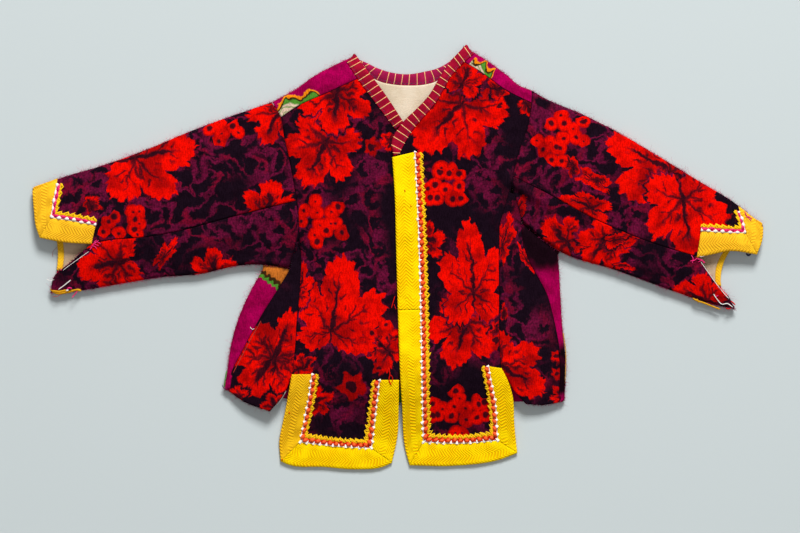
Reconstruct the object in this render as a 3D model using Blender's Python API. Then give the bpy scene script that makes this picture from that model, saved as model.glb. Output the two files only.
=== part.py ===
"""A child's long-sleeved folk jacket in printed wool, laid flat on its back.

The jacket lies on the level z = 0 with its neck towards +Y and the wearer's left
sleeve towards +X. Every cut piece is its own object: an outer sheet worked out from
plan curves and one height rule, with the cloth's thickness added inwards.
All tables and sizes are in millimetres, and MM turns them into metres.
"""

import math

import bmesh
import bpy
import numpy as np
from mathutils import Vector

MM = 0.001

# Thicknesses
CLOTH = 1.8
TAPE = 1.2
BRAID = 1.3
BINDING = 1.2
LINING = 0.8

# Clearances: every edge is trimmed by SEAM_TRIM, and a laid-on piece floats by LAY_GAP
SEAM_TRIM = 0.25
LAY_GAP = 0.45

# The flattened tubes: full height far from a fold, and how fast it rises from one
FULL_HEIGHT = 19.0
RISE_LENGTH = 32.0
RADIUS_BLEND = 12.0

# The left front's edge lies over the right front, which sinks by this much under it
OVERLAP_SINK = 2.7
OVERLAP_REACH = 16.0
OVERLAP_LEVELS = (-108.0, -84.0)

# The tabs below the back's hem droop on to the surface between these levels
DROOP_LEVELS = (-92.0, -172.0)

# Radii, at the outer face, of the folds round which the cloth turns under
SHOULDER_RADIUS = 4.5
SLEEVE_RADII = (4.5, 3.6)
SIDE_RADII = (2.5, 3.4)
FOLD_STEPS = 3

WOOL_ROUGHNESS = 0.9


class Edge:
    """A smooth curve through plan points, read from 0 to 1 along its length."""

    STEPS = 10

    def __init__(self, *points):
        knots = np.array(points, float)
        reach = np.linalg.norm(np.diff(knots, axis=0), axis=1)
        slopes = np.gradient(knots, np.append(0, np.cumsum(reach)), axis=0)
        samples = [knots[:1]]
        t = np.linspace(0, 1, self.STEPS + 1)[1:, None]
        for i, length in enumerate(reach):
            start, end = knots[i], knots[i + 1]
            leave, arrive = slopes[i] * length, slopes[i + 1] * length
            samples.append(
                (2 * t**3 - 3 * t**2 + 1) * start
                + (t**3 - 2 * t**2 + t) * leave
                + (3 * t**2 - 2 * t**3) * end
                + (t**3 - t**2) * arrive
            )
        self.set_samples(np.concatenate(samples))

    def set_samples(self, samples):
        self.samples = samples
        steps = np.linalg.norm(np.diff(samples, axis=0), axis=1)
        self.reach = np.append(0, np.cumsum(steps)) / steps.sum()

    def __call__(self, t):
        return np.array([np.interp(t, self.reach, axis) for axis in self.samples.T])

    def near(self, point):
        """The distance from a point to the curve, and where on the curve that is."""
        start, step = self.samples[:-1], np.diff(self.samples, axis=0)
        along = ((point - start) * step).sum(1) / np.maximum((step**2).sum(1), 1e-9)
        along = np.clip(along, 0, 1)
        gaps = np.linalg.norm(start + along[:, None] * step - point, axis=1)
        best = int(np.argmin(gaps))
        share = self.reach[best] + along[best] * (self.reach[best + 1] - self.reach[best])
        return gaps[best], share

    def between(self, first, last):
        """The stretch of this curve from its point nearest first to that nearest last."""
        start, end = self.near(np.array(first))[1], self.near(np.array(last))[1]
        part = Edge.__new__(Edge)
        inner = self.reach[(self.reach > min(start, end)) & (self.reach < max(start, end))]
        shares = np.concatenate([[min(start, end)], inner, [max(start, end)]])
        if end < start:
            shares = shares[::-1]
        part.set_samples(np.array([self(share) for share in shares]))
        return part

    def then(self, other):
        """This curve followed by another that starts where it ends, as one curve."""
        joined = Edge.__new__(Edge)
        joined.set_samples(np.concatenate([self.samples, other.samples[1:]]))
        return joined

    def ending_at(self, point):
        """The same curve with its last point moved, for patches that share a corner."""
        moved = Edge.__new__(Edge)
        moved.set_samples(np.concatenate([self.samples[:-1], [point]]))
        return moved

    def back(self):
        """The same curve read the other way."""
        turned = Edge.__new__(Edge)
        turned.set_samples(self.samples[::-1])
        return turned


# Plan curves of the wearer's right half (x below 0). Columns: x, y
R_SHOULDER_FOLD = Edge(
    (-110, 135), (-98.5, 141), (-88, 147), (-75, 156.5), (-59, 165.5), (-36.5, 176),
)
R_SHOULDER_SEAM = Edge((-102, 121.5), (-87, 131.5), (-62.5, 142.5), (-35.5, 155), (-25, 159.5))
R_NECK = Edge((-25, 159.5), (-12, 142.5), (5.5, 116.5))
R_ARMHOLE = Edge(
    (-94.5, -10.5), (-92, -1), (-88.8, 12), (-86.5, 24), (-88.5, 48.5), (-94, 81),
    (-99.5, 106), (-102, 121.5), (-110, 135),
)
R_ARMHOLE_BACK = Edge(
    (-94.5, -10.5), (-91, 10), (-90, 24), (-91.5, 60), (-96.5, 95), (-102, 121.5), (-110, 135),
)
R_SLEEVE_TOP = Edge(
    (-110, 135), (-136, 126), (-159, 118), (-185, 108), (-221, 93), (-263, 78),
    (-293.5, 69), (-319.5, 58),
)
R_SLEEVE_SEAM = Edge(
    (-88.5, 48.5), (-146, 34), (-197.5, 20.5), (-221, 16.5), (-251.5, 14), (-267.5, 11),
)
R_SLIT = Edge((-267.5, 11), (-291, 12.5), (-313, 16.5))
R_SLEEVE_BOTTOM = Edge(
    (-94.5, -10.5), (-127.5, -7.5), (-139.5, -8.5), (-174, -16), (-205.5, -18.5),
    (-243, -24.5), (-279, -30.5), (-304, -32.5),
)
R_BACK_SEAM = Edge((-90, 24), (-138, 9), (-208, -5.5), (-260.5, -12), (-299, -12.5))
R_CUFF_FRONT = Edge((-313, 16.5), (-316.5, 27), (-318, 40.5), (-319.5, 58))
R_UNDER_END = Edge((-267.5, 11), (-286.5, -5.5), (-302, -20), (-304, -32.5))
R_CUFF_BACK = Edge((-304, -32.5), (-299, -12.5), (-299, 14), (-307, 37), (-319.5, 58))
R_SIDE_FOLD = Edge(
    (-152, -117.5), (-149.5, -102.5), (-146, -78), (-139, -53.5), (-128.5, -30), (-118.5, -12.5),
)
R_STRIP_SEAM = Edge(
    (-148.5, -118), (-146, -103.5), (-136, -83), (-124, -60.5), (-104, -28), (-95, -13.5),
)
R_STRIP_FOOT = Edge((-92.5, -126), (-94.5, -13.5))
R_GORE_SEAM = Edge(
    (-92, -103.5), (-89.5, -80.5), (-88, -55), (-85.5, -27), (-84.5, -3.5), (-86.5, 24),
)
R_GORE_SLIT = Edge((-111.5, -136.5), (-99.5, -121), (-92, -103.5))
R_GORE_HEM = Edge((-148.5, -118), (-136, -127), (-111.5, -136.5))
R_TAB_SIDE = Edge((-102, -179.5), (-103, -161), (-100, -145.5), (-96, -126), (-92, -103.5))
R_CENTRE = Edge(
    (-5.5, -181), (-0.5, -156.5), (0.5, -129.5), (1, -107), (4, -82.5), (5.5, -38.5),
    (6.5, 31.5), (6.5, 84), (5.5, 116.5),
)
R_HEM = Edge(
    (-102, -179.5), (-96.5, -182), (-64.5, -184.5), (-35, -186.5), (-13.5, -184.5), (-5.5, -181),
)

# Plan curves of the wearer's left half (x above 0). Columns: x, y
L_SHOULDER_FOLD = Edge((58, 184), (81, 169.5), (96, 158.5), (106, 150), (118, 145))
L_SHOULDER_SEAM = Edge((50.5, 174), (62, 168), (75.5, 159.5), (94, 146), (117.5, 134))
L_NECK = Edge(
    (-4, 86.5), (-4, 96.5), (5, 116.5), (17, 128.5), (27.5, 140), (37, 156), (43.5, 166),
    (50.5, 174),
)
L_ARMHOLE = Edge(
    (109, 30.5), (106, 42), (102.5, 54.5), (101, 68.5), (103.5, 82), (110.5, 103.5),
    (115.5, 121), (117.5, 134), (118, 145),
)
L_ARMHOLE_BACK = Edge(
    (109, 30.5), (104.8, 50), (104.5, 75), (110, 103), (115.5, 121), (117.5, 134), (118, 145),
)
L_SLEEVE_TOP = Edge(
    (118, 145), (127, 139.5), (161.5, 124.5), (195, 107.5), (223, 91), (261.5, 67.5),
    (300.5, 43), (320, 26),
)
L_SLEEVE_SEAM = Edge((101, 70), (129, 56), (167.5, 35), (223, 11.5), (262, -0.5))
L_SLIT = Edge((262, -0.5), (274.5, 2), (291, 5), (314.5, 2))
L_SLEEVE_BOTTOM = Edge(
    (109, 30.5), (119.5, 21), (141.5, 4.5), (191.5, -12.5), (246.5, -32.5), (274.5, -42),
    (295.5, -46.5),
)
L_BACK_SEAM = Edge((104.8, 50), (168.5, 14), (221, -10.5), (284, -26.5))
L_CUFF_FRONT = Edge((314.5, 2), (319, 14), (320, 26))
L_UNDER_END = Edge((262, -0.5), (279.5, -24.5), (291, -37), (295.5, -46.5))
L_CUFF_BACK = Edge((295.5, -46.5), (284, -26.5), (291, 3.5), (306, 16), (320, 26))
L_SIDE_FOLD = Edge(
    (146.5, -127), (147.5, -92), (145, -67.5), (142.5, -28), (141.5, -10.5), (140.5, 0),
)
L_STRIP_SEAM = Edge(
    (142.5, -128.5), (143.5, -93.5), (140.5, -72.5), (136, -51.5), (131, -34), (123, -18.5),
    (116, -6), (111.5, 6), (109.5, 15), (109, 24),
)
L_STRIP_FOOT = Edge((89.5, -128.5), (109, 24))
L_GORE_SEAM = Edge(
    (90.5, -98), (89, -73.5), (89, -38.5), (89, 9.5), (89.5, 26.5), (95, 46), (101, 68.5),
)
L_GORE_SLIT = Edge((112.5, -130), (105.5, -122.5), (90.5, -98))
L_GORE_HEM = Edge((112.5, -130), (129, -130.5), (142.5, -128.5))
L_TAB_SIDE = Edge((104.5, -172.5), (102, -149), (100, -121.5), (95, -106), (90.5, -98))
L_CENTRE = Edge(
    (11, -183), (7.5, -170), (4.5, -129.5), (3, -105), (1.5, -65), (-0.5, 5.5), (-2, 58),
    (-4, 86.5),
)
L_HEM = Edge((11, -183), (48, -183.5), (91.5, -177.5), (104.5, -172.5))

BACK_NECK = Edge(
    (-33.5, 172), (-27.5, 169.5), (-19, 165), (-7.5, 161), (9, 159), (25, 161.5),
    (33, 163.5), (43.5, 169), (55.2, 180.1),
)
BACK_HEM = Edge((-92.5, -126), (-0.5, -128.5), (89.5, -128.5))

# Folds round which the cloth turns under. Columns: curve, radius at its start, at its end
FOLDS = (
    (R_SHOULDER_FOLD, SHOULDER_RADIUS, SHOULDER_RADIUS),
    (R_SLEEVE_TOP, *SLEEVE_RADII),
    (R_SLEEVE_BOTTOM, *SLEEVE_RADII),
    (R_SIDE_FOLD, *SIDE_RADII),
    (L_SHOULDER_FOLD, SHOULDER_RADIUS, SHOULDER_RADIUS),
    (L_SLEEVE_TOP, *SLEEVE_RADII),
    (L_SLEEVE_BOTTOM, *SLEEVE_RADII),
    (L_SIDE_FOLD, *SIDE_RADII),
)

# Open edges near which the layers lie closer. Columns: curve, share of the puff lost, reach
OPEN_EDGES = (
    (R_CUFF_FRONT, 0.55, 30.0),
    (L_CUFF_FRONT, 0.55, 30.0),
    (R_GORE_HEM, 0.40, 30.0),
    (L_GORE_HEM, 0.40, 30.0),
    (R_NECK, 0.30, 30.0),
    (L_NECK, 0.30, 30.0),
)

# The largest folds of the cloth. Columns: x and y of one end, of the other, half width, height
CREASES = (
    (-104, 112, -87, 40, 8, -1.6),
    (-86, 22, -92, -100, 7, -0.9),
    (102, 84, 116, 122, 8, -1.6),
    (89, 20, 90, -92, 7, -0.9),
    (101, 66, 131, 46, 6, 1.6),
    (104, 76, 200, 28, 8, -1.0),
    (-100, 46, -196, 22, 8, -1.0),
    (-128, -2, -100, 26, 7, 1.2),
    (-168, 92, -158, 60, 9, 1.0),
    (-232, 60, -214, 34, 9, -0.9),
    (176, 96, 168, 62, 9, 1.0),
    (238, 60, 226, 34, 9, -0.9),
    (-74, 96, -60, -60, 12, 0.9),
    (70, 110, 62, -70, 12, 0.9),
    (-128, -52, -112, -104, 8, -0.9),
    (124, -44, 122, -104, 8, 0.9),
)


def smooth(t):
    """A soft step from 0 to 1."""
    t = min(max(t, 0.0), 1.0)
    return t * t * (3 - 2 * t)


def crease_height(point):
    """What the largest folds add to the top at a plan point."""
    total = 0.0
    for x0, y0, x1, y1, half_width, height in CREASES:
        start, run = np.array((x0, y0)), np.array((x1 - x0, y1 - y0))
        along = float((point - start) @ run / (run @ run))
        across = np.linalg.norm(point - start - np.clip(along, 0, 1) * run)
        total += height * math.exp(-((across / half_width) ** 2))
    return total


def top_height(point):
    """The height of the upper layer's outer face over a plan point."""
    point = np.array(point, float)
    weights, radii, puff = [], [], 1.0
    for curve, first, last in FOLDS:
        gap, share = curve.near(point)
        radius = first + (last - first) * share
        weights.append(math.exp(-gap / RADIUS_BLEND) + 1e-9)
        radii.append(radius)
        puff *= 1 - math.exp(-max(gap - radius, 0) / RISE_LENGTH)
    rim = 2 * np.average(radii, weights=weights)
    for curve, share, reach in OPEN_EDGES:
        puff *= 1 - share * math.exp(-curve.near(point)[0] / reach)
    return rim + (FULL_HEIGHT - rim) * puff + crease_height(point) * min(1.0, 4 * puff)


def front_height(point):
    """The upper layer's height on the fronts, whose tabs droop on to the surface."""
    height = top_height(point)
    droop = smooth((point[1] - DROOP_LEVELS[0]) / (DROOP_LEVELS[1] - DROOP_LEVELS[0]))
    return height + (CLOTH - height) * droop


OVERLAP_EDGE = L_CENTRE.then(L_NECK)


def right_front_height(point):
    """The upper layer's height, sunk where the left front lies over the right one."""
    x, y = point
    edge_x = np.interp(y, OVERLAP_EDGE.samples[:, 1], OVERLAP_EDGE.samples[:, 0])
    sink = smooth(1 - (edge_x - 2 - x) / OVERLAP_REACH)
    level = smooth((y - OVERLAP_LEVELS[0]) / (OVERLAP_LEVELS[1] - OVERLAP_LEVELS[0]))
    return front_height(point) - OVERLAP_SINK * sink * level


def coons(left, right, low, high):
    """The plan patch between four curves: left and right run up, low and high across."""

    def place(u, v):
        corners = (
            (1 - v) * ((1 - u) * low(0) + u * low(1))
            + v * ((1 - u) * high(0) + u * high(1))
        )
        sides = (1 - u) * left(v) + u * right(v)
        return sides + (1 - v) * low(u) + v * high(u) - corners

    return place


def steps(start, end, count):
    """Evenly spaced values from start to end, both taken in."""
    return list(np.linspace(start, end, count + 1))


def add_grid(bm, us, vs, place):
    """Adds a sheet with a point for each pair of us and vs, at place(u, v)."""
    columns, rows = len(us) - 1, len(vs) - 1
    made = bmesh.ops.create_grid(bm, x_segments=columns, y_segments=rows, size=0.5)
    for vert in made["verts"]:
        u = us[round((vert.co.x + 0.5) * columns)]
        v = vs[round((vert.co.y + 0.5) * rows)]
        vert.co = Vector(place(u, v)) * MM


def trim(bm, width):
    """Moves every open edge of the sheet inwards by a width, within the sheet."""
    pulls = {}
    for edge in bm.edges:
        if not edge.is_boundary:
            continue
        face = edge.link_faces[0]
        across = face.normal.cross(edge.verts[1].co - edge.verts[0].co).normalized()
        if across.dot(face.calc_center_median() - edge.verts[0].co) < 0:
            across.negate()
        for vert in edge.verts:
            pulls.setdefault(vert, []).append(across)
    for vert, pair in pulls.items():
        total = sum(pair, Vector())
        vert.co += total * (width * MM / max(0.4, 1 + pair[0].dot(pair[-1])) * 2 / len(pair))


def finish(name, bm, thickness, colour):
    """Makes a sheet one object whose thickness goes inwards from its outer face."""
    bmesh.ops.remove_doubles(bm, verts=bm.verts, dist=1e-6)
    bmesh.ops.recalc_face_normals(bm, faces=bm.faces)
    highest = max(bm.faces, key=lambda face: face.calc_center_median().z)
    if highest.normal.z < 0:
        bmesh.ops.reverse_faces(bm, faces=bm.faces)
    bm.normal_update()
    trim(bm, SEAM_TRIM)
    mesh = bpy.data.meshes.new(name)
    bm.to_mesh(mesh)
    bm.free()
    mesh.shade_smooth()
    material = bpy.data.materials.get(colour[0]) or bpy.data.materials.new(colour[0])
    material.use_nodes = True
    shader = material.node_tree.nodes["Principled BSDF"]
    shader.inputs["Base Color"].default_value = (*colour[1], 1)
    shader.inputs["Roughness"].default_value = WOOL_ROUGHNESS
    shader.inputs["Metallic"].default_value = 0
    mesh.materials.append(material)
    piece = bpy.data.objects.new(name, mesh)
    bpy.context.collection.objects.link(piece)
    wall = piece.modifiers.new("wall", "SOLIDIFY")
    wall.thickness = thickness * MM
    wall.offset = -1
    wall.use_even_offset = True
    wall.use_quality_normals = True
    return piece


# Finishes: name and linear colour
PRINTED_WOOL = ("printed_wool", (0.19, 0.006, 0.014))
MAGENTA_WOOL = ("magenta_wool", (0.25, 0.001, 0.11))
YELLOW_TAPE = ("yellow_tape", (0.84, 0.50, 0.007))
CORAL_BRAID = ("coral_braid", (0.80, 0.16, 0.06))
MAROON_BINDING = ("maroon_binding", (0.23, 0.006, 0.035))
CREAM_LINING = ("cream_lining", (0.82, 0.70, 0.52))


def turn_columns(radius):
    """Distances in from a fold, and heights, of the points round it from top to bottom."""
    angles = [math.radians(90 - 180 * i / (2 * FOLD_STEPS)) for i in range(2 * FOLD_STEPS + 1)]
    return [(radius * (1 - math.cos(a)), radius * (1 + math.sin(a))) for a in angles]


def sleeve_piece(name, front, back, counts):
    """One cut of a sleeve, which turns round its fold from the front layer to the back.

    front and back are plan patches with u = 1 on the fold and v running to the cuff.
    counts gives the columns of the front layer, of the back layer, and the rows.
    """
    front_columns, back_columns, rows = counts
    turn = len(turn_columns(1.0)) - 1
    total = front_columns + turn + back_columns

    def place(column, v):
        radius = SLEEVE_RADII[0] + (SLEEVE_RADII[1] - SLEEVE_RADII[0]) * v
        if column <= front_columns:
            width = np.linalg.norm(front(0, v) - front(1, v))
            u = (1 - radius / width) * column / front_columns
            x, y = front(u, v)
            return (x, y, top_height((x, y)) if u < 1 - 1.01 * radius / width else 2 * radius)
        if column < front_columns + turn:
            inset, z = turn_columns(radius)[int(column) - front_columns]
            layer = front if z > radius else back
            width = np.linalg.norm(layer(0, v) - layer(1, v))
            return (*layer(1 - inset / width, v), z)
        width = np.linalg.norm(back(0, v) - back(1, v))
        u = (1 - radius / width) * (total - column) / back_columns
        return (*back(u, v), 0.0)

    bm = bmesh.new()
    add_grid(bm, list(range(total + 1)), steps(0, 1, rows), place)
    return finish(name, bm, CLOTH, PRINTED_WOOL)


def build_sleeve(side, armholes, top, seams, slit, bottom, ends):
    """The upper and the under cut of one sleeve.

    armholes and seams give the front layer's curve and then the back layer's, and ends
    the upper cut's front edge, the under cut's front edge and the back layer's edge.
    """
    armhole, armhole_back = armholes
    seam, back_seam = seams
    cuff_front, under_end, cuff_back = ends

    def back_patch(fold):
        start = armhole_back.between(back_seam(0), fold(0))
        return coons(back_seam, fold, start, cuff_back.between(back_seam(1), fold(1)))

    upper_front = coons(seam.then(slit), top, armhole.between(seam(0), top(0)), cuff_front)
    sleeve_piece(f"sleeve_upper_{side}", upper_front, back_patch(top), (6, 6, 14))
    under_front = coons(seam, bottom, armhole.between(seam(0), bottom(0)), under_end)
    sleeve_piece(f"sleeve_under_{side}", under_front, back_patch(bottom), (5, 3, 13))


def build_front(name, left, right, hem, high, corner, height, slit_share):
    """One front, from its tab's hem to the shoulder seam and the neck edge."""
    columns = steps(0, corner, 5) + steps(corner, 1, 5)[1:]
    rows = steps(0, slit_share, 11) + steps(slit_share, 1, 21)[1:]
    patch = coons(left, right, hem, high)

    def place(u, v):
        plan = patch(u, v)
        return (*plan, height(plan))

    bm = bmesh.new()
    add_grid(bm, columns, rows, place)
    return finish(name, bm, CLOTH, PRINTED_WOOL)


def build_fronts():
    """Both fronts: the wearer's left one lies over the right one."""
    side = R_TAB_SIDE.then(R_GORE_SEAM).then(R_ARMHOLE.between((-86.5, 24), (-102, 121.5)))
    high = R_SHOULDER_SEAM.then(R_NECK)
    corner, slit = high.near(R_NECK(0))[1], side.near(R_TAB_SIDE(1))[1]
    build_front("front_right", side, R_CENTRE, R_HEM, high, corner, right_front_height, slit)
    side = L_TAB_SIDE.then(L_GORE_SEAM).then(L_ARMHOLE.between((101, 68.5), (117.5, 134)))
    high = L_NECK.then(L_SHOULDER_SEAM)
    corner, slit = high.near(L_NECK(1))[1], side.near(L_TAB_SIDE(1))[1]
    build_front("front_left", L_CENTRE, side, L_HEM, high, corner, front_height, slit)


def build_gore(name, left, right, hem, slit_share, strip_share):
    """A side gore, a wedge between the front and the back that tapers to the armhole."""
    patch = coons(left, right, hem, Edge(left(1), right(1)))
    rows = steps(0, slit_share, 4) + steps(slit_share, strip_share, 10)[1:]
    rows += steps(strip_share, 1, 4)[1:]

    def place(u, v):
        plan = patch(u, v)
        return (*plan, top_height(plan))

    bm = bmesh.new()
    add_grid(bm, steps(0, 1, 5), rows, place)
    return finish(name, bm, CLOTH, PRINTED_WOOL)


def gore_shares(inner, slit, outer, strip_seam):
    """Where a gore's rows pass the top of its slit and the top of the back's strip."""
    return inner.near(slit(1))[1], outer.near(strip_seam(1))[1]


def build_gores():
    """Both side gores."""
    outer = R_STRIP_SEAM.then(R_ARMHOLE.between((-92.6, -4), (-88.8, 12)))
    inner = R_GORE_SLIT.then(R_GORE_SEAM.between((-92, -103.5), (-85.2, 13)))
    shares = gore_shares(inner, R_GORE_SLIT, outer, R_STRIP_SEAM)
    build_gore("side_gore_right", outer, inner, R_GORE_HEM, *shares)
    outer = L_STRIP_SEAM.then(L_ARMHOLE.between((108.7, 33), (103, 54.5)))
    inner = L_GORE_SLIT.then(L_GORE_SEAM.between((90.5, -98), (98, 56)))
    shares = gore_shares(inner, L_GORE_SLIT, outer, L_STRIP_SEAM)
    build_gore("side_gore_left", inner, outer, L_GORE_HEM, *shares)


def paced(curve, share, point):
    """Reads a curve so that it passes a point of its own at a given share of the way."""
    passes = curve.near(np.array(point))[1]
    return lambda t: curve(np.interp(t, (0, share, 1), (0, passes, 1)))


def turned_strip(bm, us, fold, foot, seam, radii, under_steps, over_steps):
    """The part of the back that runs to a fold, turns over it and ends at a seam on top.

    foot is where the strip leaves the flat back, and seam where it ends on the upper
    layer. Without under_steps it starts at the turn's lowest point.
    """
    turn = turn_columns(1.0)[::-1]
    last = under_steps + len(turn) - 1

    def place(row, u):
        radius = radii[0] + (radii[1] - radii[0]) * u
        edge = fold(u)
        to_foot, to_seam = foot(u) - edge, seam(u) - edge
        under, over = np.linalg.norm(to_foot), np.linalg.norm(to_seam)
        if row < under_steps:
            share = radius / under + (1 - radius / under) * (1 - row / under_steps)
            return (*(edge + to_foot * share), 0.0)
        if row <= last:
            inset, z = (radius * value for value in turn[int(row) - under_steps])
            toward = to_foot / under if z < radius else to_seam / over
            return (*(edge + toward * inset), z)
        share = radius / over + (1 - radius / over) * (row - last) / over_steps
        plan = edge + to_seam * share
        return (*plan, top_height(plan))

    add_grid(bm, list(range(last + over_steps + 1)), us, place)


def build_back():
    """The back: flat below, turned up over both shoulders and both sides."""
    bm = bmesh.new()
    foot_share = 0.45
    neck_starts, neck_ends = 0.32, 0.74

    def two_part(first, second):
        def read(v):
            if v <= foot_share:
                return first(v / foot_share)
            return second((v - foot_share) / (1 - foot_share))
        return read

    def over_shoulder(fold, seam):
        def read(t):
            toward = seam(t) - fold(t)
            return fold(t) + toward / np.linalg.norm(toward) * SHOULDER_RADIUS
        return read

    right_turn = over_shoulder(R_SHOULDER_FOLD, R_SHOULDER_SEAM)
    left_turn = over_shoulder(L_SHOULDER_FOLD, L_SHOULDER_SEAM)
    right_arm = Edge(R_STRIP_FOOT(1), R_ARMHOLE(0)).then(
        R_ARMHOLE_BACK.between(R_ARMHOLE(0), right_turn(0)).ending_at(right_turn(0))
    )
    left_arm = Edge(L_STRIP_FOOT(1), L_ARMHOLE(0)).then(
        L_ARMHOLE_BACK.between(L_ARMHOLE(0), left_turn(1)).ending_at(left_turn(1))
    )

    def top(u):
        if u <= neck_starts:
            return right_turn(u / neck_starts)
        if u < neck_ends:
            return BACK_NECK((u - neck_starts) / (neck_ends - neck_starts))
        return left_turn((u - neck_ends) / (1 - neck_ends))

    patch = coons(two_part(R_STRIP_FOOT, right_arm), two_part(L_STRIP_FOOT, left_arm), BACK_HEM, top)
    us = steps(0, neck_starts, 4) + steps(neck_starts, neck_ends, 6)[1:]
    us += steps(neck_ends, 1, 4)[1:]
    vs = steps(0, foot_share, 12) + steps(foot_share, 1, 11)[1:]
    add_grid(bm, us, vs, lambda u, v: (*patch(u, v), 0.0))
    shoulder_radii = (SHOULDER_RADIUS, SHOULDER_RADIUS)
    for fold, seam in ((R_SHOULDER_FOLD, R_SHOULDER_SEAM), (L_SHOULDER_FOLD, L_SHOULDER_SEAM)):
        turned_strip(bm, steps(0, 1, 4), fold, seam, seam, shoulder_radii, 0, 2)
    side_rows = steps(0, 1, 12)
    right_seam = paced(R_STRIP_SEAM, 0.7, (-124, -60.5))
    left_seam = paced(L_STRIP_SEAM, 0.74, (131, -34))
    turned_strip(bm, side_rows, R_SIDE_FOLD, R_STRIP_FOOT, right_seam, SIDE_RADII, 2, 2)
    turned_strip(bm, side_rows, L_SIDE_FOLD, L_STRIP_FOOT, left_seam, SIDE_RADII, 2, 2)
    return finish("back", bm, CLOTH, MAGENTA_WOOL)


def ribbon(name, outer, inner, rows, thickness, finish_as, height=front_height, columns=2):
    """A strip laid on the upper layer between two plan edges, made from its heights."""
    rise = LAY_GAP + thickness

    def place(u, v):
        plan = (1 - u) * outer(v) + u * inner(v)
        return (*plan, height(plan) + rise)

    bm = bmesh.new()
    add_grid(bm, steps(0, 1, columns), steps(0, 1, rows), place)
    return finish(name, bm, thickness, finish_as)


def inner_patch(name, patch, counts, thickness, finish_as):
    """A flat patch laid on the inner face of the back layer."""
    level = CLOTH + LAY_GAP + thickness
    bm = bmesh.new()
    add_grid(bm, steps(0, 1, counts[0]), steps(0, 1, counts[1]), lambda u, v: (*patch(u, v), level))
    return finish(name, bm, thickness, finish_as)


# Inner edges of the yellow tapes, where the braids start. Columns: x, y
L_FRONT_LINE = Edge((22.5, -163.5), (21.5, -126), (20.5, -65), (19, -3.5), (17, 49), (15, 91))
L_HEM_LINE = Edge((22.5, -163.5), (54.5, -164.5), (88, -162))
L_SIDE_LINE = Edge((88, -162), (85.5, -126), (82, -108.5), (80, -96.5))
R_SIDE_LINE = Edge((-85.5, -163.5), (-82, -143.5), (-77.5, -121.5), (-75, -103.5))
R_HEM_LINE = Edge((-85.5, -163.5), (-54.5, -167), (-22.5, -169))
R_INNER_LINE = Edge((-22.5, -169), (-19, -139), (-15.5, -108.5))
R_CUFF_LINE = Edge((-303.5, 33.5), (-301.5, 48), (-298.5, 63))
R_SLIT_LINE = Edge((-303.5, 33.5), (-282.5, 30), (-264, 26.5))
L_CUFF_LINE = Edge((305, 20), (303, 30), (299.5, 38.5))
L_SLIT_LINE = Edge((305, 20), (284, 20.5), (265.5, 22))
FRONT_JOIN = (0.0, -47.5)

# Each braid is a ribbon from its line to a second one. Columns: name, line, second line, rows
BRAIDS = (
    ("braid_front_left", L_FRONT_LINE,
     Edge((29, -157), (28, -126), (27.2, -65), (25.7, -3.5), (23.7, 49), (21.7, 90)), 34),
    ("braid_hem_left", L_HEM_LINE, Edge((29, -157), (54.5, -158), (81.5, -155.5)), 8),
    ("braid_side_left", L_SIDE_LINE, Edge((81.5, -155.5), (79, -126), (75.5, -108.5), (73.3, -96.5)), 9),
    ("braid_side_right", R_SIDE_LINE, Edge((-79, -157), (-75.5, -143.5), (-71, -121.5), (-68.3, -103)), 9),
    ("braid_hem_right", R_HEM_LINE, Edge((-79, -157), (-54.5, -160.3), (-28.5, -162.2)), 8),
    ("braid_inner_right", R_INNER_LINE, Edge((-28.5, -162.2), (-25.6, -139), (-22, -108.5)), 9),
    ("braid_cuff_right", R_CUFF_LINE, Edge((-297, 39), (-295, 50), (-292, 64)), 4),
    ("braid_slit_right", R_SLIT_LINE, Edge((-297, 39), (-280, 36.5), (-263, 33)), 5),
    ("braid_cuff_left", L_CUFF_LINE, Edge((298.5, 26.5), (297, 33), (294, 41)), 3),
    ("braid_slit_left", L_SLIT_LINE, Edge((298.5, 26.5), (283, 27), (265, 28.5)), 5),
)


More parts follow.
